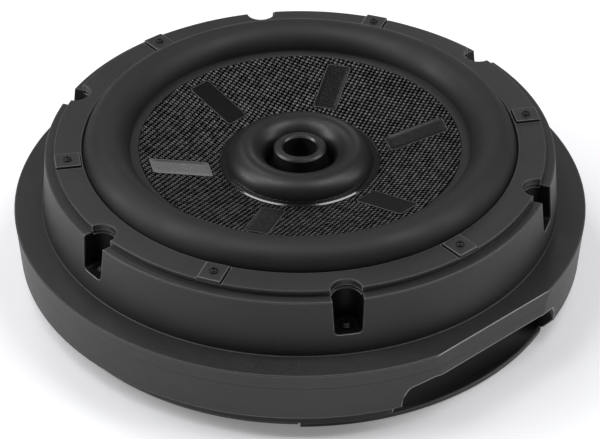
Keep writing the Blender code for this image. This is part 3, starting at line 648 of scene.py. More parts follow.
CASING = moulded("casing_black", 0.012, 0.025, 0.50, depth=0.10 * MM, edge=0.45 * MM, edge_wear_and_highlight=0.42)
# The casing's plastic made darker and less reflective for the insides of the wells: painted shade.
SHADED_WELL = moulded("well_painted_shade", 0.003, 0.005, 0.46, depth=0.05 * MM, edge=0.45 * MM,
               edge_wear_and_highlight=0.14, gloss=0.14)
FRAME = moulded("frame_black", 0.014, 0.027, 0.46, depth=0.08 * MM, edge=0.40 * MM, edge_wear_and_highlight=0.22)
RUBBER = rubber()
WOVEN = woven()
BAR = moulded("bar_black", 0.004, 0.006, 0.20, depth=0.004 * MM, edge=0.3 * MM, edge_wear_and_highlight=0.14)
CAP = moulded("cap_black", 0.007, 0.010, 0.42, depth=0.008 * MM)
CAP_FLANGE = moulded("cap_flange_black", 0.003, 0.004, 0.10, depth=0.003 * MM,
                     Specular_IOR_Level=1.0)
HUB_METAL = turned_metal("hub_metal", 0.05, 0.08, 0.36, 0.85)
SCREW_METAL = turned_metal("screw_steel", 0.004, 0.012, 0.42, 0.4)
DARK_STEEL = turned_metal("dark_steel", 0.05, 0.09, 0.42)
TRAY = moulded("tray_black", 0.006, 0.009, 0.55)
# Brown paper for the coil former, made darker than its own colour as painted shade for the gap round the hub.
SHADED_PAPER = moulded("former_paper", (0.022, 0.018, 0.015), (0.040, 0.033, 0.028), 0.75, grain=1.5 * MM)
SATIN = moulded("satin_black", 0.014, 0.020, 0.36)
EPOXY = moulded("epoxy_black", 0.018, 0.028, 0.62)
GREY_PLASTIC = moulded("grey_plastic", 0.16, 0.21, 0.48)
WHITE_PLASTIC = moulded("white_plastic", (0.66, 0.66, 0.63), (0.76, 0.76, 0.73), 0.42)
RED_PLASTIC = moulded("red_plastic", (0.48, 0.020, 0.016), (0.60, 0.030, 0.025), 0.42)
FUSE_PLASTIC = moulded("fuse_plastic", (0.68, 0.18, 0.015), (0.85, 0.27, 0.03), 0.22, depth=0.006 * MM)
LENS = moulded("lens_blue", (0.04, 0.12, 0.55), (0.09, 0.22, 0.80), 0.12, depth=0.002 * MM, Coat_Weight=0.6)
PRINT = moulded("white_print", 0.55, 0.66, 0.6)
ALUMINIUM = brushed_metal("brushed_aluminium", 0.50, 0.66, 0.38)
STEEL = brushed_metal("sheet_steel", 0.38, 0.52, 0.34)
NICKEL = turned_metal("nickel_plate", 0.52, 0.64, 0.22)
BRASS = brushed_metal("contact_brass", (0.60, 0.42, 0.16), (0.74, 0.55, 0.25), 0.30)
ENAMELLED_WIRE = wound_wire("enamelled_wire", (0.40, 0.13, 0.04), (0.62, 0.26, 0.10))
TINSEL = wound_wire("tinsel_braid", (0.45, 0.25, 0.13), (0.72, 0.45, 0.27))
CLOTH = cloth()
FERRITE = ferrite()
BOARD = circuit_board_look()


# Casing


def well_half_width(height):
    return WELL_FOOT + (WELL_MOUTH - WELL_FOOT) * (height - WELL_FLOOR) / (FRAME_TOP - WELL_FLOOR)


def drum_radius(height):
    share = (height - FLANGE_TOP) / (DRUM_TOP - FLANGE_TOP)
    return DRUM_FOOT_RADIUS + (DRUM_TOP_RADIUS - DRUM_FOOT_RADIUS) * share


def well_ring(half, height, distance, flare):
    """One level of a well: a half circle, straight sides and a flare where it runs out of the wall."""
    far = 24.0 * MM
    wall = math.sqrt(drum_radius(height) ** 2 - (half + flare) ** 2) - distance
    half_circle = arc((0.0, 0.0), half, 90.0, 270.0, 24)
    if flare == 0.0:
        outline = half_circle + [Vector((far, -half)), Vector((far, half))]
    else:
        side = arc((wall - flare, half + flare), flare, 270.0, 360.0, 4)
        mirrored = [Vector((x, -y)) for x, y in side]
        end = [Vector((far, -half - flare)), Vector((far, half + flare))]
        outline = half_circle + mirrored + end + side[::-1]
    return at_height(outline, height)


def well_shapes(top, flare, grow=0.0, floor=WELL_FLOOR):
    """Six wells with a rounded floor and, at height top, a rounded mouth. Grow makes them wider."""
    fillet = 0.5 * MM
    quarter = [math.radians(angle) for angle in (0.0, 22.5, 45.0, 67.5, 90.0)]
    levels = []
    for angle in quarter:
        height = floor + WELL_CORNER * (1.0 - math.cos(angle))
        levels.append((height, well_half_width(height) - WELL_CORNER * (1.0 - math.sin(angle))))
    for angle in quarter:
        height = top - fillet * (1.0 - math.sin(angle))
        levels.append((height, well_half_width(height) + fillet * (1.0 - math.cos(angle))))
    levels.append((top + 12 * MM, levels[-1][1]))
    shapes = []
    for angle, distance in WELLS:
        rings = [well_ring(half + grow, height, distance, flare) for height, half in levels]
        shapes.append(moved(skin(rings), spoke(angle, distance)))
    return shapes


def flat_shape(distance, low=8 * MM, high=60 * MM):
    """Everything beyond the flat on the outer wall."""
    far, half = 240 * MM, 90 * MM
    outline = [(distance, -half), (far, -half), (far, half), (distance, half)]
    return prism(outline, low, high, spoke(FLAT_ANGLE))


def post_shapes(places, radius, low, high):
    return [rod(radius, low, high, spoke(angle, distance)) for angle, distance in places]


def driver_screw_holes():
    return post_shapes(PADS, 1.9 * MM, 70 * MM, 98 * MM)


def cut_cavity(casing, outline, cuts):
    """Carve out what lies within the spun outline and in none of the cuts."""
    cavity = piece("cavity", [spin(outline, RIM)])
    for shapes in cuts:
        carve(cavity, shapes)
    points = [vertex.co.copy() for vertex in cavity.data.vertices]
    faces = [tuple(face.vertices) for face in cavity.data.polygons]
    bpy.data.objects.remove(cavity)
    carve(casing, [(points, faces)])


def upper_casing():
    """The flange and the drum, hollow but for the walls of the wells and the posts under the pads."""
    outline = rounded([
        (OPENING_RADIUS, SEAM - SEAM_OVERLAP, 0.0),
        (SEAM_RADIUS, SEAM - SEAM_OVERLAP, 0.0),
        (FLANGE_RADIUS, FLANGE_TOP, 0.8 * MM),
        (DRUM_FOOT_RADIUS, FLANGE_TOP, 0.6 * MM),
        (DRUM_TOP_RADIUS, DRUM_TOP, 0.8 * MM),
        (SEAT_RADIUS, DRUM_TOP, 0.4 * MM),
        (SEAT_RADIUS, SEAT, 0.3 * MM),
        (OPENING_RADIUS, SEAT, 0.4 * MM),
    ])
    casing = piece("upper_casing_shell", [spin(outline)], CASING)
    inner_top = SEAT - WALL
    inner = 120 * MM
    hollow = [
        (inner, SEAM - 10 * MM),
        (SEAM_RADIUS - WALL, SEAM - 10 * MM),
        (SEAM_RADIUS - WALL, FLANGE_TOP - WALL),
        (DRUM_FOOT_RADIUS - WALL, FLANGE_TOP - WALL),
        (DRUM_TOP_RADIUS - WALL, inner_top),
        (inner, inner_top),
    ]
    well_walls = well_shapes(DRUM_TOP, 0.0, grow=WALL, floor=WELL_FLOOR - WALL)
    pad_posts = post_shapes(PADS, 4.5 * MM, 72 * MM, 95 * MM)
    cut_cavity(casing, hollow, (well_walls, pad_posts, [flat_shape(FLAT_DISTANCE - WALL)]))
    # The wells' walls and floors take the darker material of painted shade.
    carve(casing, well_shapes(DRUM_TOP, 0.6 * MM), material=SHADED_WELL)
    carve(casing, [flat_shape(FLAT_DISTANCE)])
    carve(casing, driver_screw_holes() + post_shapes(WELLS, CASING_HOLE, 41 * MM, HOLE_TOP))
    place(casing, "upper_casing")


def bay_mouth(back):
    """The connector bay's opening, with rounded shoulders and ends that flare out at the wall."""
    high = span("connector_panel", BAY)[1]
    half = high.y + BAY_SIDE
    top = high.z + 1.2 * MM
    outline = rounded([
        (-half, -5 * MM, 0.0),
        (half, -5 * MM, 0.0),
        (half, top - 14.0 * MM, 7 * MM),
        (half - 4.9 * MM, top - 3.6 * MM, 5 * MM),
        (half - 20 * MM, top + 0.2 * MM, 12 * MM),
        (-half + 20 * MM, top + 0.2 * MM, 12 * MM),
        (-half + 4.9 * MM, top - 3.6 * MM, 5 * MM),
        (-half, top - 14.0 * MM, 7 * MM),
    ])
    flare = 2.0 * MM
    outside = math.sqrt(WALL_FOOT_RADIUS ** 2 - half ** 2) + 0.3 * MM
    levels = [(back, 0.0)]
    for angle in (0.0, 22.5, 45.0, 67.5, 90.0):
        sine, cosine = math.sin(math.radians(angle)), math.cos(math.radians(angle))
        levels.append((outside - flare * (1.0 - sine), flare * (1.0 - cosine)))
    levels.append((BEYOND, flare))
    rings = []
    for out, wider in levels:
        rings.append([BAY @ Vector((out, y * (1.0 + wider / half), z)) for y, z in outline])
    return skin(rings)


def bay_cheek():
    """A web at one end of the bay, from the skirt to the foot of the wall, with a sloping lower edge."""
    half = span("connector_panel", BAY)[1].y + BAY_SIDE
    inside = math.sqrt(SKIRT_RADIUS ** 2 - half ** 2)
    outside = math.sqrt(WALL_FOOT_RADIUS ** 2 - half ** 2) - 0.8 * MM
    outline = rounded([
        (inside - 1.5 * MM, 5.0 * MM, 0.0),
        (inside + 0.5 * MM, 5.0 * MM, 0.8 * MM),
        (outside, WALL_FOOT + 0.5 * MM, 0.5 * MM),
        (outside, WALL_FOOT + 1.5 * MM, 0.0),
        (inside - 1.5 * MM, WALL_FOOT + 1.5 * MM, 0.0),
    ])
    return prism(outline, -half - 2.5 * MM, -half + 0.5 * MM, BAY @ front_profile())


def front_profile():
    """The frame that stands an (out, up) outline upright, extruded along Y."""
    return Matrix(((1, 0, 0, 0), (0, 0, -1, 0), (0, 1, 0, 0), (0, 0, 0, 1)))


def sector(inner, outer, start, end, steps):
    """A piece of a ring between two angles in degrees."""
    centre = (0.0, 0.0)
    return arc(centre, outer, start, end, steps) + arc(centre, inner, end, start, steps)


def tray_angles():
    """Where the rim of the tray starts and ends, in degrees."""
    points = cad_points("connector_tray")
    rim = points[np.hypot(points[:, 0], points[:, 1]) > BASE_RADIUS + 1.5 * MM]
    angles = np.degrees(np.arctan2(rim[:, 1], rim[:, 0]))
    return float(angles.min()), float(angles.max())


def lower_casing():
    """The base and the wall below the seam, with posts for the casing screws and walls round the bay."""
    hub_hole = reach("hub_sleeve", DRUM_TOP - 10 * MM)[1] + 0.6 * MM
    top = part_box("lower_casing")[1].z
    seam = SEAM - 2 * GAP + SEAM_OVERLAP
    outline = rounded([
        (hub_hole, 0.0, 0.4 * MM),
        (BASE_RADIUS, 0.0, 2.0 * MM),
        (SKIRT_RADIUS, 5.0 * MM, 1.5 * MM),
        (SKIRT_RADIUS + 1.4 * MM, WALL_FOOT - 1.0 * MM, 0.8 * MM),
        (WALL_FOOT_RADIUS - 1.0 * MM, WALL_FOOT, 0.0),
        (WALL_FOOT_RADIUS, WALL_FOOT + 1.0 * MM, 0.5 * MM),
        (SEAM_RADIUS, seam, 0.0),
        (hub_hole, seam, 0.0),
    ])
    casing = piece("lower_casing_shell", [spin(outline)], CASING)
    inner = 10 * MM
    hollow = [
        (inner, WALL),
        (BASE_RADIUS - 1.6 * MM, WALL),
        (SKIRT_RADIUS - WALL, 5.8 * MM),
        (SKIRT_RADIUS - 1.6 * MM, WALL_FOOT + 2.0 * MM),
        (WALL_FOOT_RADIUS - WALL, WALL_FOOT + WALL),
        (SEAM_RADIUS - WALL, seam - 5.5 * MM),
        (SEAM_RADIUS - WALL, top + 5 * MM),
        (inner, top + 5 * MM),
    ]
    back = span("connector_tray", BAY)[0].x - GAP
    low, high = span("connector_panel", BAY)
    walls_low = (back - 2.5 * MM, low.y - 8.4 * MM, -5 * MM)
    walls_high = (BEYOND, high.y + 8.4 * MM, high.z + 4.4 * MM)
    walls = bay_slab(walls_low, walls_high, 0.5 * MM, 0.2 * MM)
    cut_cavity(casing, hollow, ([flat_shape(FLAT_DISTANCE - WALL)], [walls]))
    carve(casing, [flat_shape(FLAT_DISTANCE)])
    carve(casing, post_shapes(WELLS, 4.6 * MM, 1.5 * MM, top), "UNION")
    carve(casing, post_shapes(WELLS, CASING_HOLE, 41.5 * MM, HOLE_TOP))
    carve(casing, [bay_cheek()], "UNION")
    cut_openings(casing, back)
    place(casing, "lower_casing")


def cut_openings(casing, back):
    """The bay from its back to the wall, and room for the panel, the heat sink and the tray's lip."""
    carve(casing, [bay_mouth(back)])
    low, high = span("connector_panel", BAY)
    panel_room = (low - Vector((9.0, 0.4, 0.4)) * MM, high + Vector((3.0, 0.4, 0.4)) * MM)
    carve(casing, [bay_slab(*panel_room)])
    low, high = span("heat_sink_plate", BAY)
    sink_low = (low.x + 5 * MM, low.y + 5 * MM, -1 * MM)
    sink_high = (high.x - 3.5 * MM, high.y - 5 * MM, 4 * MM)
    carve(casing, [bay_slab(sink_low, sink_high, 0.5 * MM, 0.2 * MM)])
    start, end = tray_angles()
    rim_inner = reach("connector_tray")[1] - TRAY_LIP
    room = 0.3  # degrees
    lip = sector(rim_inner, BEYOND, start - room, end + room, 60)
    carve(casing, [prism(lip, -1 * MM, TRAY_RIM + GAP)])


def connector_tray():
    """The floor of the bay, which curves up towards the panel, and the lip along its round rim."""
    low = span("connector_tray", BAY)[0]
    outer = reach("connector_tray")[1]
    curve = arc((172 * MM, 23.5 * MM), 19.8 * MM, 262.0, 214.0, 16)
    front = 180 * MM
    back_top = curve[-1][1] + 1.0 * MM
    section = [(low.x, low.z), (front, low.z), (front, curve[0][1]), *curve, (low.x, back_top)]
    half = span("connector_panel", BAY)[1].y + BAY_SIDE - GAP
    tray = piece("connector_tray_floor", [prism(section, -half, half, BAY @ front_profile())], TRAY)
    inner, edge = 60 * MM, outer - 1.0 * MM
    disc = [(inner, -10 * MM), (edge, -10 * MM), (edge, 30 * MM), (inner, 30 * MM)]
    carve(tray, [spin(disc)], "INTERSECT")
    place(tray, "connector_tray")
    lip = rounded([
        (outer - TRAY_LIP, low.z, 0.0),
        (outer - 0.4 * MM, low.z, 0.6 * MM),
        (outer, TRAY_RIM, 0.7 * MM),
        (outer - 1.8 * MM, TRAY_RIM, 0.5 * MM),
        (outer - 2.4 * MM, TRAY_RIM - 1.6 * MM, 0.4 * MM),
        (outer - TRAY_LIP, TRAY_RIM - 1.9 * MM, 0.0),
    ])
    add(piece("connector_tray_lip", [sweep(lip, *tray_angles(), 80)], CASING), "connector_tray")


# Driver


def driver_frame():
    """The basket: its rim with six screw pads, a sloped wall with windows, a spider ledge and a foot."""
    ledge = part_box("spider")[0].z - GAP
    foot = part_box("driver_frame")[0].z
    thick = 2.4 * MM
    land, seat = 140.0 * MM, FRAME_TOP - 2.0 * MM  # inner edge of the rim, and the step for the surround
    neck, skirt = 135.0 * MM, 137.2 * MM
    bore = 42.0 * MM
    outline = rounded([
        (FRAME_RADIUS, FRAME_BOTTOM, 0.3 * MM),
        (FRAME_RADIUS, FRAME_TOP, 0.7 * MM),
        (land, FRAME_TOP, 0.5 * MM),
        (land, seat, 0.2 * MM),
        (neck, seat, 0.4 * MM),
        (neck, 87.0 * MM, 0.8 * MM),
        (116.0 * MM, 68.0 * MM, 2.0 * MM),
        (92.5 * MM, ledge, 1.5 * MM),
        (76.0 * MM, ledge, 1.5 * MM),
        (65.0 * MM, foot + thick, 1.5 * MM),
        (bore, foot + thick, 0.4 * MM),
        (bore, foot, 0.3 * MM),
        (66.4 * MM, foot, 1.5 * MM),
        (77.4 * MM, ledge - thick, 1.5 * MM),
        (93.2 * MM, ledge - thick, 1.5 * MM),
        (118.0 * MM, 66.4 * MM, 1.5 * MM),
        (skirt, 85.5 * MM, 0.4 * MM),
        (skirt, FRAME_BOTTOM, 0.4 * MM),
    ], 4)
    rim = piece("driver_basket", [spin(outline)], FRAME)
    window = sector(96 * MM, 114 * MM, 11.0, 49.0, 20)
    carve(rim, [prism(window, 50 * MM, 75 * MM, spoke(angle)) for angle, _ in PADS])
    carve(rim, [pad_shape(angle, groove=0.7 * MM) for angle, _ in PADS])
    carve(rim, [pad_shape(angle) for angle, _ in PADS], "UNION")
    carve(rim, well_shapes(FRAME_TOP, 0.0))
    carve(rim, driver_screw_holes())
    place(rim, "driver_frame")


def pad_shape(angle, groove=0.0):
    """A raised pad under a driver screw, or with a groove the room round it and under its top."""
    inner, outer, width = 141.5 * MM, 157.5 * MM, 14.5 * MM
    top = PAD_TOP - FRAME_TOP
    levels = [(-1.4 * MM, 0.0), (top - 0.45 * MM, 0.0), (top - 0.12 * MM, 0.12 * MM), (top, 0.45 * MM)]
    if groove:
        levels = [(-1.0 * MM, -groove), (5.0 * MM, -groove)]
    rings = []
    for height, inset in levels:
        outline = rectangle(outer - inner - 2 * inset, width - 2 * inset, 0.6 * MM)
        rings.append(at_height(outline, FRAME_TOP + height))
    return moved(skin(rings), spoke(angle, (inner + outer) / 2))


def frame_gasket():
    low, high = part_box("frame_gasket")
    inner, outer = reach("frame_gasket")
    outline = ring_section(inner, outer, low.z, high.z, 0.4 * MM, 5)
    gasket = piece("frame_gasket_ring", [spin(outline)], RUBBER)
    carve(gasket, well_shapes(high.z, 0.0) + driver_screw_holes())
    place(gasket, "frame_gasket")


def blend_round(obj):
    """Bake the piece's placing into its points."""
    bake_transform(obj)


def surround():
    """A half roll, thinner at its lips, with a small bead where it meets the frame."""
    thick = 1.2 * MM
    outer = arc(ROLL_CENTRE, ROLL_RADIUS, 4.0, 178.0, 44)
    inner = arc(ROLL_CENTRE, ROLL_RADIUS - thick, 176.0, 6.0, 36)
    lip = FRAME_TOP - 2.0 * MM + GAP
    inner_lip = 88.4 * MM
    outline = [
        (139.75 * MM, lip),
        (139.75 * MM, lip + 0.7 * MM),
        (139.5 * MM, lip + 1.0 * MM),
        *outer,
        (109.2 * MM, inner_lip + 0.05 * MM),
        (108.7 * MM, inner_lip),
        (104.4 * MM, inner_lip),
        (103.95 * MM, inner_lip - 0.3 * MM),
        (103.9 * MM, 87.5 * MM),
        (110.0 * MM, 87.5 * MM),
        *inner,
        (137.2 * MM, lip),
    ]
    roll = piece("surround_roll", [spin(outline)], RUBBER, 50.0)
    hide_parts("surround")
    blend_round(roll)


def cone_height(radius):
    """Height of the cone's upper face where it is straight."""
    slope = (CONE_RIM[1] - CONE_INNER[1]) / (CONE_RIM[0] - CONE_INNER[0])
    return CONE_INNER[1] + slope * (radius - CONE_INNER[0])


def cone_body():
    """The stiff layer under the weave, with its glue ledge and its neck."""
    glue = 87.2 * MM
    sunk = 0.75 * MM
    thick = 1.2 * MM
    neck_foot = 62.0 * MM
    outline = rounded([
        (109.0 * MM, glue - thick, 0.2 * MM),
        (109.0 * MM, glue, 0.2 * MM),
        (CONE_RIM[0], glue, 0.0),
        (CONE_RIM[0] - 0.4 * MM, cone_height(CONE_RIM[0]) - sunk, 0.0),
        (40.0 * MM, cone_height(40 * MM) - sunk, 2.0 * MM),
        (NECK_RADIUS, 67.0 * MM, 0.3 * MM),
        (NECK_RADIUS, neck_foot, 0.3 * MM),
        (NECK_RADIUS + thick, neck_foot, 0.3 * MM),
        (NECK_RADIUS + thick, 65.6 * MM, 0.5 * MM),
        (40.4 * MM, cone_height(40.4 * MM) - thick - sunk, 2.0 * MM),
        (CONE_RIM[0], cone_height(CONE_RIM[0]) - 2.2 * MM, 0.3 * MM),
    ])
    body = piece("cone_body", [spin(outline)], CAP)
    place(body, "cone")


# Weave of the cone: flat threads in two directions at right angles
WEAVE_TURN = math.radians(63.0)
NARROW_PITCH = 2.47 * MM
WIDE_PITCH = 3.02 * MM
SAMPLES = 5  # mesh cells across a thread
THREAD_RISE = 0.42 * MM
THREAD_THICKNESS = 0.85 * MM
THREAD_WIDTH = 0.90  # as a share of the pitch
TILE = 256  # threads after which the random tints and lifts repeat


def thread_profile(place_across, width):
    """Height across one thread, from 1 on its crown to 0 at its edge."""
    offset = (place_across - np.floor(place_across) - 0.5) / (width / 2)
    return np.sqrt(np.clip(1.0 - offset ** 2, 0.0, 1.0))


def weave_relief(across, along):
    """Height of a plain weave, and a crown mask for the painted shade in its gaps and the painted highlights on
    its crowns, with random tints. Both places are counted in threads.
    """
    column, row = np.floor(across), np.floor(along)
    narrow_rise = THREAD_RISE * np.cos(math.pi * (along - 0.5 + column))
    wide_rise = -THREAD_RISE * np.cos(math.pi * (across - 0.5 + row))
    narrow = narrow_rise + THREAD_THICKNESS * (thread_profile(across, THREAD_WIDTH) - 1.0)
    wide = wide_rise + THREAD_THICKNESS * (thread_profile(along, THREAD_WIDTH) - 1.0)
    height = np.maximum(narrow, wide)
    lowest = -THREAD_THICKNESS
    crown = np.clip((height - lowest) / (THREAD_RISE - lowest), 0.0, 1.0)
    chance = np.random.default_rng(7)
    tints = chance.uniform(0.80, 1.0, (TILE, TILE))
    lifts = chance.uniform(-0.09 * MM, 0.09 * MM, (TILE, TILE))
    cell = (column.astype(int) % TILE, row.astype(int) % TILE)
    # Painted shade: the crown mask falls off towards the sides and ends of each cell.
    side = 1.0 - np.abs(2.0 * (across - column) - 1.0)
    end = 1.0 - np.abs(2.0 * (along - row) - 1.0)
    border = np.clip(0.78 + 0.6 * np.minimum(side, end), 0.0, 1.0)
    return height + lifts[cell], crown * tints[cell] * border


def on_bars(x, y, room):
    """Whether each place is on one of the bars or less than the room away from it."""
    found = np.zeros(x.shape, bool)
    for angle in BARS:
        along = x * math.cos(angle) + y * math.sin(angle)
        across = y * math.cos(angle) - x * math.sin(angle)
        inside = (along > BAR_ENDS[0] - room) & (along < BAR_ENDS[1] + room)
        found |= inside & (np.abs(across) < BAR_WIDTH / 2 + room)
    return found


def cone_weave():
    """One sheet of weave over the straight part of the cone, cut to its two circles."""
    inner, outer = 50.6 * MM, CONE_RIM[0]
    step_u, step_v = NARROW_PITCH / SAMPLES, WIDE_PITCH / SAMPLES
    count_u, count_v = int(outer / step_u) + 2, int(outer / step_v) + 2
    u, v = np.meshgrid(np.arange(-count_u, count_u + 1), np.arange(-count_v, count_v + 1), indexing="ij")
    cos, sin = math.cos(WEAVE_TURN), math.sin(WEAVE_TURN)
    x = u * step_u * cos - v * step_v * sin
    y = u * step_u * sin + v * step_v * cos
    radius = np.hypot(x, y)
    within = (radius > inner) & (radius < outer)
    cell = within[:-1, :-1] | within[1:, :-1] | within[:-1, 1:] | within[1:, 1:]
    cell &= ~on_bars(x, y, 0.6 * MM)[:-1, :-1]
    index = np.arange(x.size).reshape(x.shape)
    corners = (index[:-1, :-1], index[1:, :-1], index[1:, 1:], index[:-1, 1:])
    faces = np.stack([corner[cell] for corner in corners], axis=1)
    used, faces = np.unique(faces, return_inverse=True)
    faces = faces.reshape(-1, 4)
    relief, crown = weave_relief(u.ravel()[used] / SAMPLES, v.ravel()[used] / SAMPLES)
    kept = np.clip(radius.ravel()[used], inner, outer)
    shrink = kept / radius.ravel()[used]
    height = cone_height(kept) + relief
    points = np.stack([x.ravel()[used] * shrink, y.ravel()[used] * shrink, height], axis=1)
    mesh = bpy.data.meshes.new("cone_weave")
    mesh.from_pydata(points.tolist(), [], faces.tolist())
    mesh.materials.append(WOVEN)
    mesh.shade_smooth()
    # The crown mask rides on the points to drive the painted shade and highlights of the weave.
    mesh.attributes.new("crown", "FLOAT", "POINT").data.foreach_set("value", crown.astype(np.float32))
    sheet = bpy.data.objects.new("cone_weave", mesh)
    bpy.context.scene.collection.objects.link(sheet)
    add(sheet, "cone")


def cone_bars():
    """Six smooth bars along the cone, each a shallow trough between a narrow raised border."""
    start, end = BAR_ENDS
    border, depth, rise = 0.9 * MM, 0.12 * MM, 0.7 * MM
    stations = np.linspace(0.0, 1.0, 25)
    shapes = []
    for angle in BARS:
        rings = []
        for share in stations:
            along = start + (end - start) * share
            ramp = min(min(along - start, end - along) / (3.0 * border), 1.0)
            half = BAR_WIDTH / 2 - 0.8 * MM * (1.0 - ramp) ** 4
            surface = cone_height(along)
            top = []
            for side in np.linspace(-1.0, 1.0, 17):
                inward = min(half * (1.0 - abs(side)) / (2.5 * border), 1.0)
                dip = depth * ramp ** 2 * inward ** 2
                top.append(Vector((along, half * side, surface + rise - dip)))
            under = [Vector((along, side * half, surface - rise)) for side in (1.0, -1.0)]
            rings.append(under + top)
        shapes.append(moved(skin(rings), spoke(angle)))
    bars = piece("cone_bars", shapes, BAR)
    add(bars, "cone")


def dust_cap():
    """A ring-shaped dome with a thin flange on the cone and a lip down into the voice coil former."""
    foot = CONE_INNER[0]
    centre = (35.2 * MM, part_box("dust_cap")[1].z - 12.8 * MM)
    radius, thick = 12.8 * MM, 1.0 * MM
    lip = centre[0] - radius
    outer = arc(centre, radius, 10.0, 180.0, 40)
    inner = arc(centre, radius - thick, 180.0, 12.0, 30)
    base = cone_height(foot) + GAP
    outline = [
        (foot, base),
        (foot, base + 0.2 * MM),
        (foot - 1.1 * MM, base + 0.9 * MM),
        (foot - 3.0 * MM, base + 0.8 * MM),
        *outer,
        (lip, 69.3 * MM),
        (lip + 0.3 * MM, 69.0 * MM),
        (lip + thick, 69.0 * MM),
        *inner,
        (46.8 * MM, cone_height(46.8 * MM) + GAP),
    ]
    cap = piece("dust_cap_dome", [spin(outline)], CAP, 30.0)
    cap.data.materials.append(CAP_FLANGE)
    for face in cap.data.polygons:
        face.material_index = int(math.hypot(face.center.x, face.center.y) > centre[0] + radius + 0.1 * MM)
    place(cap, "dust_cap")


def hub_sleeve():
    """The post in the middle, with a wide bore above a shoulder and a bolt bore below."""
    low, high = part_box("hub_sleeve")
    radius = reach("hub_sleeve", high.z - 5 * MM)[1]
    foot_radius = reach("hub_sleeve")[1]
    bolt, bore, chamfer = 7.0 * MM, 11.0 * MM, 1.2 * MM
    shoulder, foot_top = 70.0 * MM, 6.3 * MM
    outline = rounded([
        (radius, high.z - chamfer, 0.4 * MM),
        (radius - chamfer, high.z, 0.4 * MM),
        (bore + chamfer, high.z, 0.4 * MM),
        (bore, high.z - chamfer, 0.4 * MM),
        (bore, shoulder, 0.4 * MM),
        (bolt, shoulder, 0.3 * MM),
        (bolt, low.z, 0.5 * MM),
        (radius, low.z, 0.5 * MM),
        (radius, WALL + GAP, 0.0),
        (foot_radius, WALL + GAP, 0.3 * MM),
        (foot_radius, foot_top, 0.5 * MM),
        (radius, foot_top, 0.8 * MM),
    ])
    hub = piece("hub_post", [spin(outline, RIM)], HUB_METAL)
    place(hub, "hub_sleeve")


# Screws


def screw_mesh(name, head_radius, head_height, shank_radius, shank_length):
    """A cross-recessed screw with a washer face, a domed head and a threaded shank."""
    core = shank_radius * 0.82
    pitch = 1.2 * MM
    outline = [(0.1 * MM, -shank_length), (core, -shank_length + 2.0 * MM)]
    threads = int((shank_length - 3.0 * MM) / pitch)
    for number in range(threads):
        height = -shank_length + 2.0 * MM + number * pitch
        outline += [(shank_radius, height + 0.5 * pitch), (core, height + pitch)]
    washer = 0.35 * head_height
    outline += [(core, 0.0), (head_radius, 0.0), (head_radius, washer)]
    dome = [(0.86, washer + 0.15 * MM), (0.84, washer + 0.2 * MM), (0.78, head_height * 0.75),
            (0.62, head_height * 0.93), (0.40, head_height)]
    outline += [(head_radius * share, height) for share, height in dome]
    obj = piece(name, [spin(outline, SMALL, closed=False)], SCREW_METAL)
    for turn in (0.0, math.pi / 2):
        depth = head_height * 0.75
        blade = []
        for height, shrink in ((head_height - depth, 0.45), (head_height + 1 * MM, 1.1)):
            section = rectangle(head_radius * 1.05 * shrink, head_radius * 0.26, 0.05 * MM, 2)
            blade.append(at_height(section, height))
        carve(obj, [moved(skin(blade), Matrix.Rotation(turn, 4, "Z"))])
    mesh = obj.data
    bpy.data.objects.remove(obj)
    return mesh


def screws(kind, head_radius, head_height, shank_radius, shank_length):
    """The six screws of one kind, each turned to another angle."""
    mesh = screw_mesh(f"{kind}_mesh", head_radius, head_height, shank_radius, shank_length)
    for number in range(1, 7):
        node = f"{kind}_{number}"
        low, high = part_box(node)
        obj = bpy.data.objects.new(f"{kind}_head_{number}", mesh)
        obj.location = ((low.x + high.x) / 2, (low.y + high.y) / 2, high.z - head_height)
        obj.rotation_euler.z = number * 2.4
        bpy.context.scene.collection.objects.link(obj)
        place(obj, node)


# Motor and suspension


def ring_piece(name, node, material, corner=0.5 * MM):
    """A plain ring in the place of a CAD ring, with rounded edges."""
    low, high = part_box(node)
    inner, outer = reach(node)
    outline = ring_section(inner, outer, low.z, high.z, corner)
    place(piece(name, [spin(outline, RIM)], material), node)


def back_plate():
    """The plate under the magnet with the pole in one piece."""
    low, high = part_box("back_plate")
    bore, outer = reach("back_plate")
    pole = reach("back_plate", high.z - 1 * MM)[1]
    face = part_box("magnet")[0].z - GAP
    outline = rounded([
        (bore, low.z, 0.5 * MM),
        (outer, low.z, 1.5 * MM),
        (outer, face, 0.8 * MM),
        (pole + 1.2 * MM, face, 0.3 * MM),
        (pole, face + 1.2 * MM, 0.3 * MM),
        (pole, high.z, 0.6 * MM),
        (bore, high.z, 0.5 * MM),
    ], 3)
    place(piece("pole_and_back_plate", [spin(outline, RIM)], DARK_STEEL), "back_plate")


def winding():
    """The coil: turns of wire one above the other."""
    low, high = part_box("voice_coil_winding")
    inner, outer = reach("voice_coil_winding")
    turns = 44
    pitch = (high.z - low.z) / turns
    outline = [(inner, high.z), (inner, low.z)]
    for number in range(turns):
        bottom = low.z + number * pitch
        outline += [(outer - 0.22 * MM, bottom + 0.05 * pitch), (outer, bottom + 0.35 * pitch),
                    (outer, bottom + 0.65 * pitch)]
    place(piece("coil_of_wire", [spin(outline, RIM)], ENAMELLED_WIRE, 70.0), "voice_coil_winding")


def spider():
    """The corrugated cloth that centres the voice coil, glued to it inside and to the basket outside."""
    low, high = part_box("spider")
    inner, outer = reach("spider")
    first, last, waves = inner + 5 * MM, outer - 16 * MM, 6
    upper = []
    steps = 96
    for step in range(steps + 1):
        radius = first + (last - first) * step / steps
        upper.append((radius, high.z + 1.5 * MM * math.sin(math.tau * waves * step / steps)))
    upper = [(inner, high.z), *upper, (outer, high.z)]
    thick = high.z - low.z
    outline = upper + [(radius, height - thick) for radius, height in reversed(upper)]
    disc = piece("spider_disc", [spin(outline)], CLOTH, 60.0)
    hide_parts("spider")
    blend_round(disc)


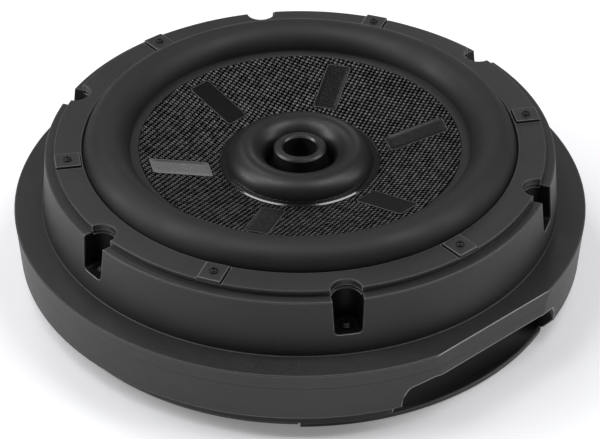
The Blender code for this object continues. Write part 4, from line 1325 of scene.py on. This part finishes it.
def tinsel_lead(side):
    """A braided lead that loops from the terminal to the voice coil."""
    node = "tinsel_lead_left" if side < 0 else "tinsel_lead_right"
    places = [(108.0, 10.0, 56.0), (106.0, 26.0, 57.5), (98.0, 30.0, 61.0), (85.0, 26.0, 65.5),
              (56.0, 16.0, 67.0), (30.0, 7.0, 62.5)]
    points = [BAY @ Vector((out * MM, side * across * MM, up * MM)) for out, across, up in places]
    braid = tube(smooth_path(points, 14), 0.75 * MM, 12, strands=3, pitch=2.4 * MM)
    cord = piece(f"tinsel_braid_{'left' if side < 0 else 'right'}", [braid], TINSEL, 60.0)
    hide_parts(node)
    blend_round(cord)


def speaker_lead():
    """A twin cable from the amplifier up to the terminal."""
    places = [(100.0, -20.0, 17.8), (100.0, -20.0, 30.0), (104.0, -6.0, 42.0), (108.0, 0.0, 48.0)]
    path = smooth_path([BAY @ Vector((out * MM, across * MM, up * MM)) for out, across, up in places], 12)
    cores = [tube(path, 0.85 * MM, 16, aside=side * 0.78 * MM) for side in (-1.0, 1.0)]
    place(piece("twin_cable", cores, RUBBER, 60.0), "speaker_lead")


def terminal():
    """A block under the basket with two contact tabs."""
    low, high = span("driver_terminal", BAY)
    block = piece("terminal_block", [bay_plate(low, high, 0.8 * MM, 0.4 * MM)], GREY_PLASTIC)
    place(block, "driver_terminal")
    tabs = []
    for across in (-4.0 * MM, 4.0 * MM):
        start = Vector((high.x - 0.3 * MM, across - 1.4 * MM, low.z + 3.0 * MM))
        tabs.append(bay_plate(start, start + Vector((4.5 * MM, 2.8 * MM, 0.8 * MM)), 0.4 * MM, 0.1 * MM))
    add(piece("terminal_tabs", tabs, BRASS), "driver_terminal")


def casing_seal():
    """A rubber cord just inside the seam, straight along the flat."""
    low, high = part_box("casing_seal")
    outer = reach("casing_seal")[1]
    thick = 2.4 * MM
    flat = FLAT_DISTANCE - WALL - GAP
    section = ring_section(0.0, thick, low.z, high.z, 0.6 * MM)
    rings = []
    for step in range(ROUND):
        angle = math.tau * step / ROUND
        facing = math.cos(angle - FLAT_ANGLE)
        ring = []
        for inward, height in section:
            distance = outer - inward
            if facing > 0.0:
                distance = min(distance, (flat - inward) / facing)
            ring.append(Vector((distance * math.cos(angle), distance * math.sin(angle), height)))
        rings.append(ring)
    place(piece("casing_seal_cord", [skin(rings, closed=True)], RUBBER), "casing_seal")


# Amplifier


def heat_sink():
    """The plate on the base, fins through the base's opening and four posts for the board."""
    low, high = span("heat_sink_plate", BAY)
    sheet = WALL + 2.7 * MM + GAP
    shapes = [bay_plate((low.x, low.y, WALL + GAP), (high.x, high.y, sheet), 1.5 * MM, 0.3 * MM)]
    for number in range(-4, 5):
        across = number * 11.0 * MM
        fin_low = (low.x + 7 * MM, across - 0.9 * MM, low.z)
        fin_high = (high.x - 5.5 * MM, across + 0.9 * MM, WALL + 1.5 * MM)
        shapes.append(bay_plate(fin_low, fin_high, 0.5 * MM, 0.3 * MM))
    radius, foot = 2.5 * MM, sheet - 1 * MM
    post = rounded([
        (0.0, foot, 0.0),
        (radius, foot, 0.0),
        (radius, high.z, 0.3 * MM),
        (0.0, high.z, 0.0),
    ], 3)
    for out in (low.x + 10 * MM, high.x - 5.5 * MM):
        for across in (low.y + 5 * MM, high.y - 5 * MM):
            place_at = BAY @ Matrix.Translation((out, across, 0.0))
            shapes.append(turned(post[:-1], place_at))
    place(piece("heat_sink", shapes, ALUMINIUM), "heat_sink_plate")


def circuit_board():
    """The amplifier's board with its small components."""
    low, high = span("amp_circuit_board", BAY)
    place(piece("circuit_board", [bay_plate(low, high, 1.5 * MM, 0.1 * MM)], BOARD), "amp_circuit_board")
    chips, chip_legs, resistors = [], [], []
    top = high.z - 0.02 * MM
    for number in range(3):
        corner = Vector((low.x + 5 * MM, low.y + 34 * MM + number * 20 * MM, top + 0.2 * MM))
        chips.append(bay_plate(corner, corner + Vector((6.0, 10.0, 1.6)) * MM, 0.3 * MM, 0.2 * MM))
        for leg in range(7):
            start = corner + Vector((-1.2, 0.7 + leg * 1.3, -0.2)) * MM
            chip_legs.append(bay_plate(start, start + Vector((8.4, 0.5, 0.5)) * MM, 0.1 * MM, 0.05 * MM))
    for row in range(2):
        for number in range(11):
            start = Vector((low.x + (44 + 5 * row) * MM, low.y + (46 + 4.2 * number) * MM, top))
            resistors.append(bay_plate(start, start + Vector((3.0, 1.6, 0.6)) * MM, 0.1 * MM, 0.08 * MM))
    add(piece("board_chips", chips, EPOXY), "power_transistor_1")
    add(piece("board_chip_legs", chip_legs, STEEL), "transistor_clamp")
    add(piece("board_resistors", resistors, GREY_PLASTIC), "driver_terminal")


def toroid():
    """A ring core with wire wound round it."""
    low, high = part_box("power_toroid")
    middle = (low + high) / 2
    outer = (high.x - low.x) / 2
    inner = outer - 8.0 * MM
    turns = 44
    rings = []
    for step in range(turns * 4):
        angle = math.tau * step / (turns * 4)
        sunk = 0.35 * MM * (0.5 + 0.5 * math.cos(turns * angle))
        section = ring_section(inner + sunk, outer - sunk, low.z + sunk, high.z - sunk, 2.5 * MM, 4)
        out = Vector((math.cos(angle), math.sin(angle), 0.0))
        rings.append([Vector((middle.x, middle.y, z)) + r * out for r, z in section])
    place(piece("toroid_winding", [skin(rings, closed=True)], ENAMELLED_WIRE, 60.0), "power_toroid")


def capacitor(number):
    """A can with a crimp near its foot, a rolled edge and a cross pressed into its bare top."""
    node = f"supply_capacitor_{number}"
    low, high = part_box(node)
    radius = (high.x - low.x) / 2
    place_at = Matrix.Translation(((low.x + high.x) / 2, (low.y + high.y) / 2, 0.0))
    sleeve = rounded([
        (1.0 * MM, low.z, 0.0),
        (radius, low.z, 0.5 * MM),
        (radius, low.z + 3.0 * MM, 0.5 * MM),
        (radius - 0.9 * MM, low.z + 3.8 * MM, 0.4 * MM),
        (radius, low.z + 4.6 * MM, 0.5 * MM),
        (radius, high.z, 0.9 * MM),
        (radius - 1.6 * MM, high.z, 0.2 * MM),
        (radius - 1.8 * MM, high.z - 0.4 * MM, 0.0),
        (1.0 * MM, high.z - 0.4 * MM, 0.0),
    ], 4)
    place(piece(f"capacitor_sleeve_{number}", [turned(sleeve, place_at)], SATIN), node)
    lid = [
        (0.1 * MM, high.z - 0.6 * MM),
        (radius - 1.9 * MM, high.z - 0.6 * MM),
        (radius - 1.9 * MM, high.z - 0.2 * MM),
        (0.1 * MM, high.z - 0.1 * MM),
    ]
    top = piece(f"capacitor_lid_{number}", [turned(lid, place_at)], ALUMINIUM)
    pressed = Matrix.Translation((0.0, 0.0, high.z - 0.3 * MM))
    arm = slab((radius * 1.4, 0.35 * MM, 1.0 * MM), 0.1 * MM, 0.05 * MM, pressed)
    for turn in (0.0, math.pi / 2):
        carve(top, [moved(arm, place_at @ Matrix.Rotation(turn, 4, "Z"))])
    add(top, node)


def transistor(number):
    """A flat package with a step at its tab end and three legs up to the board."""
    node = f"power_transistor_{number}"
    low, high = span(node, BAY)
    body = piece(f"transistor_package_{number}", [bay_plate(low, high, 0.5 * MM, 0.25 * MM)], EPOXY)
    step_low = (low.x - 1 * MM, low.y - 1 * MM, low.z + 1.6 * MM)
    step_high = (low.x + 3.2 * MM, high.y + 1 * MM, high.z + 1 * MM)
    carve(body, [bay_plate(step_low, step_high)])
    place(body, node)
    legs = []
    bottom, end, board = low.z + 2.0 * MM, high.x + 3.0 * MM, 14.9 * MM
    for offset in (-2.54 * MM, 0.0, 2.54 * MM):
        across = (low.y + high.y) / 2 + offset
        left, right = across - 0.4 * MM, across + 0.4 * MM
        for start, top in ((high.x - 0.5 * MM, low.z + 2.6 * MM), (high.x + 2.4 * MM, board)):
            legs.append(bay_plate((start, left, bottom), (end, right, top), 0.15 * MM, 0.08 * MM))
    add(piece(f"transistor_legs_{number}", legs, STEEL), "transistor_clamp")


def clamp():
    """A steel bar with a screw hole at each end that presses the transistors down."""
    low, high = span("transistor_clamp", BAY)
    bar = piece("clamp_bar", [bay_plate(low, high, 1.5 * MM, 0.25 * MM)], STEEL)
    for across in (low.y + 5 * MM, 0.0, high.y - 5 * MM):
        place_at = BAY @ Matrix.Translation(((low.x + high.x) / 2, across, 0.0))
        carve(bar, [rod(1.7 * MM, low.z - 1 * MM, high.z + 1 * MM, place_at)])
    place(bar, "transistor_clamp")


# Connector panel

SQUARE_HOLES = ("power_socket", "fuse_holder", "speaker_input_socket", "remote_port")
ROUND_HOLES = {"rca_jack_left": 4.6, "rca_jack_right": 4.6, "power_led": 1.5}  # radius in millimetres
ROUND_HOLES.update({knob.replace("_knob", "_pot"): 2.7 for knob in KNOBS})


def tick_marks(node, first=2.9 * MM, last=3.8 * MM):
    """Eleven printed strokes round a knob, over its turning range."""
    joint = JOINTS[node.replace("_knob", "_turn")]
    reach_low, reach_high = [math.radians(limit) for limit in joint["range_deg"]]
    face = span("connector_panel", BAY)[1].x
    strokes = []
    for number in range(11):
        angle = reach_low + (reach_high - reach_low) * number / 10
        turn = Matrix.Rotation(angle, 4, "Z") @ Matrix.Translation((-(first + last) / 2, 0.0, 0.0))
        stroke = slab((last - first, 0.3 * MM, 0.12 * MM), 0.05 * MM, 0.03 * MM)
        strokes.append(moved(stroke, bay_axle(node, face - 0.04 * MM) @ turn))
    return strokes


def connector_panel():
    """The panel with an opening for every connector, a raised frame and the scales of the knobs."""
    low, high = span("connector_panel", BAY)
    panel = piece("connector_panel_sheet", [bay_slab(low, high, 1.5 * MM, 0.2 * MM)], SATIN)
    for node in SQUARE_HOLES:
        hole_low, hole_high = span(node, BAY)
        room = Vector((0.0, GAP, GAP))
        hole_low.x, hole_high.x = low.x - 2 * MM, high.x + 2 * MM
        carve(panel, [bay_slab(hole_low - room, hole_high + room, 0.5 * MM, 0.1 * MM)])
    switch_low, switch_high = span("phase_switch_slider", BAY)
    travel = Vector((0.0, JOINTS["phase_slide"]["range_m"][1], 0.0))
    window = (Vector((low.x - 2 * MM, switch_low.y - GAP, switch_low.z - GAP)),
              Vector((high.x + 2 * MM, switch_high.y + travel.y + GAP, switch_high.z + GAP)))
    carve(panel, [bay_slab(*window, corner=0.3 * MM, fillet=0.1 * MM)])
    for node, radius in ROUND_HOLES.items():
        carve(panel, [rod(radius * MM, -5 * MM, 5 * MM, bay_axle(node, (low.x + high.x) / 2), SMALL)])
    place(panel, "connector_panel")
    scales = [stroke for node in KNOBS for stroke in tick_marks(node)]
    add(piece("knob_scales", scales, PRINT), "rca_jack_left")


def socket(name, node, material, columns, rows, size, depth=8.0 * MM):
    """A connector block with square pockets in its face and a contact in each."""
    low, high = span(node, BAY)
    body = piece(name, [bay_slab(low, high, 0.6 * MM, 0.35 * MM)], material)
    middle = (low + high) / 2
    contacts = []
    for column in range(columns):
        for row in range(rows):
            across = middle.y + (column - (columns - 1) / 2) * size * 1.5
            up = middle.z + (row - (rows - 1) / 2) * size * 1.35
            room = Vector((0.0, size / 2, size / 2))
            start = Vector((high.x - depth, across, up)) - room
            carve(body, [bay_slab(start, Vector((high.x + 3 * MM, across, up)) + room, 0.4 * MM, 0.2 * MM)])
            blade = Vector((0.0, 0.28 * size, 0.10 * size))
            foot = Vector((high.x - depth - 0.5 * MM, across, up))
            tip = Vector((high.x - 1.5 * MM, across, up))
            contacts.append(bay_slab(foot - blade, tip + blade, 0.1 * MM, 0.1 * MM))
    place(body, node)
    add(piece(f"{name}_contacts", contacts, BRASS), node)


def rca_jack(side, material):
    """A phono jack: a block behind the panel, a plated sleeve and a coloured insulator with a bore."""
    node = f"rca_jack_{side}"
    low, high = span(node, BAY)
    face = span("connector_panel", BAY)[0].x - 0.4 * MM
    radius = (high.z - low.z) / 2
    half = radius - 1.0 * MM
    axle = bay_axle(node)
    middle = (low + high) / 2
    block = bay_slab((low.x, middle.y - half, middle.z - half), (face, middle.y + half, middle.z + half))
    inner = radius - 1.5 * MM
    insulator = rounded([
        (inner, face - 1 * MM, 0.0),
        (inner, high.x - 0.8 * MM, 0.3 * MM),
        (1.7 * MM, high.x - 0.8 * MM, 0.3 * MM),
        (1.7 * MM, face, 0.0),
        (0.1 * MM, face, 0.0),
    ], 3)
    place(piece(f"rca_insulator_{side}", [block, turned(insulator, axle)], material), node)
    sleeve = rounded([
        (inner, face, 0.0),
        (radius - 0.2 * MM, face, 0.0),
        (radius - 0.2 * MM, high.x, 0.4 * MM),
        (inner, high.x, 0.2 * MM),
    ], 3)
    add(piece(f"rca_sleeve_{side}", [moved(spin(sleeve, SMALL), axle)], NICKEL), "transistor_clamp")


def fuse_and_holder():
    """A blade fuse in its holder, with a waist for the fingers."""
    low, high = span("fuse_holder", BAY)
    fuse_low, fuse_high = span("fuse", BAY)
    holder = piece("fuse_holder_block", [bay_slab(low, high, 0.8 * MM, 0.4 * MM)], SATIN)
    room = Vector((0.0, GAP, GAP))
    ahead = Vector((5 * MM, 0.0, 0.0))
    carve(holder, [bay_slab(fuse_low - room, fuse_high + room + ahead, 0.5 * MM, 0.2 * MM)])
    place(holder, "fuse_holder")
    fuse = piece("blade_fuse", [bay_slab(fuse_low, fuse_high, 0.5 * MM, 0.3 * MM)], FUSE_PLASTIC)
    for side in (-1.0, 1.0):
        across = (fuse_low.y + fuse_high.y) / 2 + side * 2.1 * MM
        waist = (Vector((fuse_high.x - 1.9 * MM, across - 0.45 * MM, fuse_low.z + 1.2 * MM)),
                 Vector((fuse_high.x - 0.7 * MM, across + 0.45 * MM, fuse_high.z - 1.2 * MM)))
        carve(fuse, [bay_slab(*waist, corner=0.2 * MM, fillet=0.15 * MM)])
    place(fuse, "fuse")


def power_led():
    """A lens with a domed end and a collar behind the panel."""
    low, high = span("power_led", BAY)
    radius = (high.z - low.z) / 2
    dome = [(radius * math.cos(math.radians(a)), high.x - radius * (1.0 - math.sin(math.radians(a))))
            for a in (0.0, 20.0, 40.0, 60.0, 80.0, 88.0)]
    outline = [(0.1 * MM, low.x), (radius, low.x), (radius, low.x + 1.0 * MM), *dome]
    place(piece("led_lens", [turned(outline, bay_axle("power_led"))], LENS, 50.0), "power_led")


def knob(node):
    """A fluted cap on a shaft, with a printed pointer on its face."""
    low, high = span(node, BAY)
    radius = (high.z - low.z) / 2
    shaft = 1.2 * MM
    back = high.x - 7.2 * MM
    axle = bay_axle(node)
    outline = [
        (0.1 * MM, low.x, 0.0),
        (shaft, low.x, 0.0),
        (shaft, back, 0.0),
        (radius - 0.2 * MM, back, 0.0),
        (radius, back + 0.2 * MM, 0.0),
        (radius, back + 1.4 * MM, 0.0),
        (radius - 0.1 * MM, back + 1.6 * MM, 0.4),
        (radius - 0.1 * MM, back + 2.0 * MM, 1.0),
        (radius - 0.35 * MM, high.x - 0.9 * MM, 1.0),
        (radius - 0.5 * MM, high.x - 0.4 * MM, 0.6),
        (radius - 0.9 * MM, high.x - 0.1 * MM, 0.0),
        (radius - 1.3 * MM, high.x, 0.0),
        (0.1 * MM, high.x, 0.0),
    ]
    cap = piece(f"{node}_cap", [moved(fluted(outline, 16, 0.35 * MM), axle)], SATIN, 40.0)
    groove_at = Matrix.Translation((-2.2 * MM, 0.0, high.x - 0.25 * MM))
    carve(cap, [moved(slab((2.9 * MM, 0.55 * MM, 1.0 * MM), 0.15 * MM, 0.05 * MM, groove_at), axle)])
    place(cap, node)
    pointer_at = Matrix.Translation((-1.35 * MM, 0.0, high.x - 0.26 * MM))
    line = slab((2.0 * MM, 0.42 * MM, 0.16 * MM), 0.1 * MM, 0.04 * MM, pointer_at)
    add(piece(f"{node}_pointer", [moved(line, axle)], PRINT), node)


def pot(node):
    """The body of a rotary control, with its threaded neck through the panel."""
    low, high = span(node, BAY)
    face = span("connector_panel", BAY)[0].x - 0.4 * MM
    neck, bore = 2.4 * MM, 1.6 * MM
    outline = [(bore, face - 4.0 * MM), (neck, face - 4.0 * MM)]
    threads = 6
    pitch = (high.x - face) / threads
    for number in range(threads):
        start = face + number * pitch
        outline += [(neck - 0.15 * MM, start + 0.1 * pitch), (neck, start + 0.5 * pitch)]
    outline += [(neck - 0.2 * MM, high.x), (bore, high.x)]
    body = piece(f"{node}_case", [bay_slab(low, (face, high.y, high.z), 0.5 * MM, 0.3 * MM)], GREY_PLASTIC)
    carve(body, [rod(bore, low.x + 2 * MM, high.x + 2 * MM, bay_axle(node))])
    place(body, node)
    add(piece(f"{node}_neck", [moved(spin(outline, SMALL), bay_axle(node))], NICKEL), "transistor_clamp")


def phase_switch():
    """A slide switch: a case behind the panel and a ridged slider."""
    low, high = span("phase_switch_body", BAY)
    slider_low, slider_high = span("phase_switch_slider", BAY)
    travel = JOINTS["phase_slide"]["range_m"][1]
    case = piece("switch_case", [bay_slab(low, high, 0.4 * MM, 0.25 * MM)], GREY_PLASTIC)
    track = (Vector((slider_low.x - GAP, slider_low.y - GAP, slider_low.z - GAP)),
             Vector((high.x + 2 * MM, slider_high.y + travel + GAP, slider_high.z + GAP)))
    carve(case, [bay_slab(*track, corner=0.2 * MM, fillet=0.1 * MM)])
    place(case, "phase_switch_body")
    slider = piece("switch_slider", [bay_slab(slider_low, slider_high, 0.25 * MM, 0.2 * MM)], WHITE_PLASTIC)
    across = (slider_low.y + slider_high.y) / 2
    for offset in (-0.7 * MM, 0.0, 0.7 * MM):
        ridge = (Vector((slider_high.x - 0.35 * MM, across + offset - 0.16 * MM, slider_low.z - 1 * MM)),
                 Vector((slider_high.x + 1 * MM, across + offset + 0.16 * MM, slider_high.z + 1 * MM)))
        carve(slider, [bay_slab(*ridge, corner=0.05 * MM, fillet=0.05 * MM)])
    place(slider, "phase_switch_slider")


# Stage


SOFTBOXES = {  # place, size and power
    "top_softbox_left": ((-0.8, 0.0, 1.8), (0.7, 1.0), 12.0),
    "top_softbox_right": ((0.8, 0.0, 1.8), (0.7, 1.0), 12.0),
    "left_softbox": ((-1.6, 0.0, 1.05), (0.5, 1.0), 14.0),
    "right_softbox": ((1.6, 0.0, 1.05), (0.5, 1.0), 7.0),
    "back_strip": ((0.42, 2.28, 0.98), (0.40, 0.80), 2.0),
    "back_softbox": ((-0.55, 1.10, 1.55), (0.45, 0.45), 3.0),
}
LIT_POINT = Vector((0.0, 0.0, 0.05))
SKY_STRENGTH = 0.12
FLOOR_HALF = 6.0
FLOOR_GLOW = 0.18
CAMERA_ELEVATION = math.radians(35.94)
CAMERA_TILT = math.radians(0.745)  # how far below the middle of the flange the camera looks
CAMERA_DISTANCE = 1.442
CAMERA_LENS = 132.26  # millimetres, on a sensor 36 wide


def soft_light(name, place_at, size, power):
    lamp = bpy.data.lights.new(name, "AREA")
    lamp.shape = "RECTANGLE"
    lamp.size, lamp.size_y = size
    lamp.energy = power
    obj = bpy.data.objects.new(name, lamp)
    obj.location = place_at
    obj.rotation_euler = (LIT_POINT - Vector(place_at)).to_track_quat("-Z", "Y").to_euler()
    bpy.context.scene.collection.objects.link(obj)


def paper_floor():
    look = Look("paper_floor", 0.8)
    look.set(Base_Color=look.mix(look.noise(0.4, 2.0), 0.93, 0.95), Emission_Strength=FLOOR_GLOW)
    signs = ((-1, -1), (1, -1), (1, 1), (-1, 1))
    corners = [(x * FLOOR_HALF, y * FLOOR_HALF, -0.0004) for x, y in signs]
    piece("floor", [(corners, [(0, 1, 2, 3)])], look.material)


def studio():
    """A white floor under a faint white sky, lit by soft boxes."""
    paper_floor()
    world = bpy.data.worlds.new("studio")
    world.use_nodes = True
    sky = world.node_tree.nodes["Background"].inputs
    sky["Color"].default_value = (1.0, 1.0, 1.0, 1.0)
    sky["Strength"].default_value = SKY_STRENGTH
    bpy.context.scene.world = world
    bpy.context.scene.view_settings.view_transform = "Standard"
    for name, (place_at, size, power) in SOFTBOXES.items():
        soft_light(name, place_at, size, power)


def camera():
    """A long lens that looks down at the flange from the front."""
    lens = bpy.data.cameras.new("camera")
    lens.lens = CAMERA_LENS
    lens.sensor_width = 36.0
    obj = bpy.data.objects.new("camera", lens)
    back, up = math.cos(CAMERA_ELEVATION), math.sin(CAMERA_ELEVATION)
    obj.location = (0.0, -CAMERA_DISTANCE * back, FLANGE_TOP + CAMERA_DISTANCE * up)
    obj.rotation_euler = (math.pi / 2 - CAMERA_ELEVATION - CAMERA_TILT, 0.0, 0.0)
    bpy.context.scene.collection.objects.link(obj)
    bpy.context.scene.camera = obj


upper_casing()
lower_casing()
connector_tray()
driver_frame()
frame_gasket()
surround()
cone_body()
cone_weave()
cone_bars()
dust_cap()
hub_sleeve()
screws("casing_screw", 3.6 * MM, CASING_HEAD, 1.7 * MM, 22 * MM)
screws("driver_screw", 2.5 * MM, DRIVER_HEAD, 1.4 * MM, 19 * MM)
ring_piece("coil_former_tube", "voice_coil_former", SHADED_PAPER, 0.08 * MM)
ring_piece("top_plate_ring", "top_plate", DARK_STEEL, 0.8 * MM)
ring_piece("magnet_ring", "magnet", FERRITE, 1.2 * MM)
back_plate()
winding()
spider()
tinsel_lead(-1.0)
tinsel_lead(1.0)
speaker_lead()
terminal()
casing_seal()
heat_sink()
circuit_board()
toroid()
for number in (1, 2):
    capacitor(number)
    transistor(number)
clamp()
connector_panel()
socket("power_connector", "power_socket", WHITE_PLASTIC, 3, 1, 4.5 * MM)
socket("speaker_connector", "speaker_input_socket", WHITE_PLASTIC, 2, 2, 2.8 * MM)
socket("remote_connector", "remote_port", SATIN, 1, 1, 5.0 * MM, 7.0 * MM)
rca_jack("left", WHITE_PLASTIC)
rca_jack("right", RED_PLASTIC)
fuse_and_holder()
power_led()
for node in KNOBS:
    knob(node)
    pot(node.replace("_knob", "_pot"))
phase_switch()
studio()
camera()
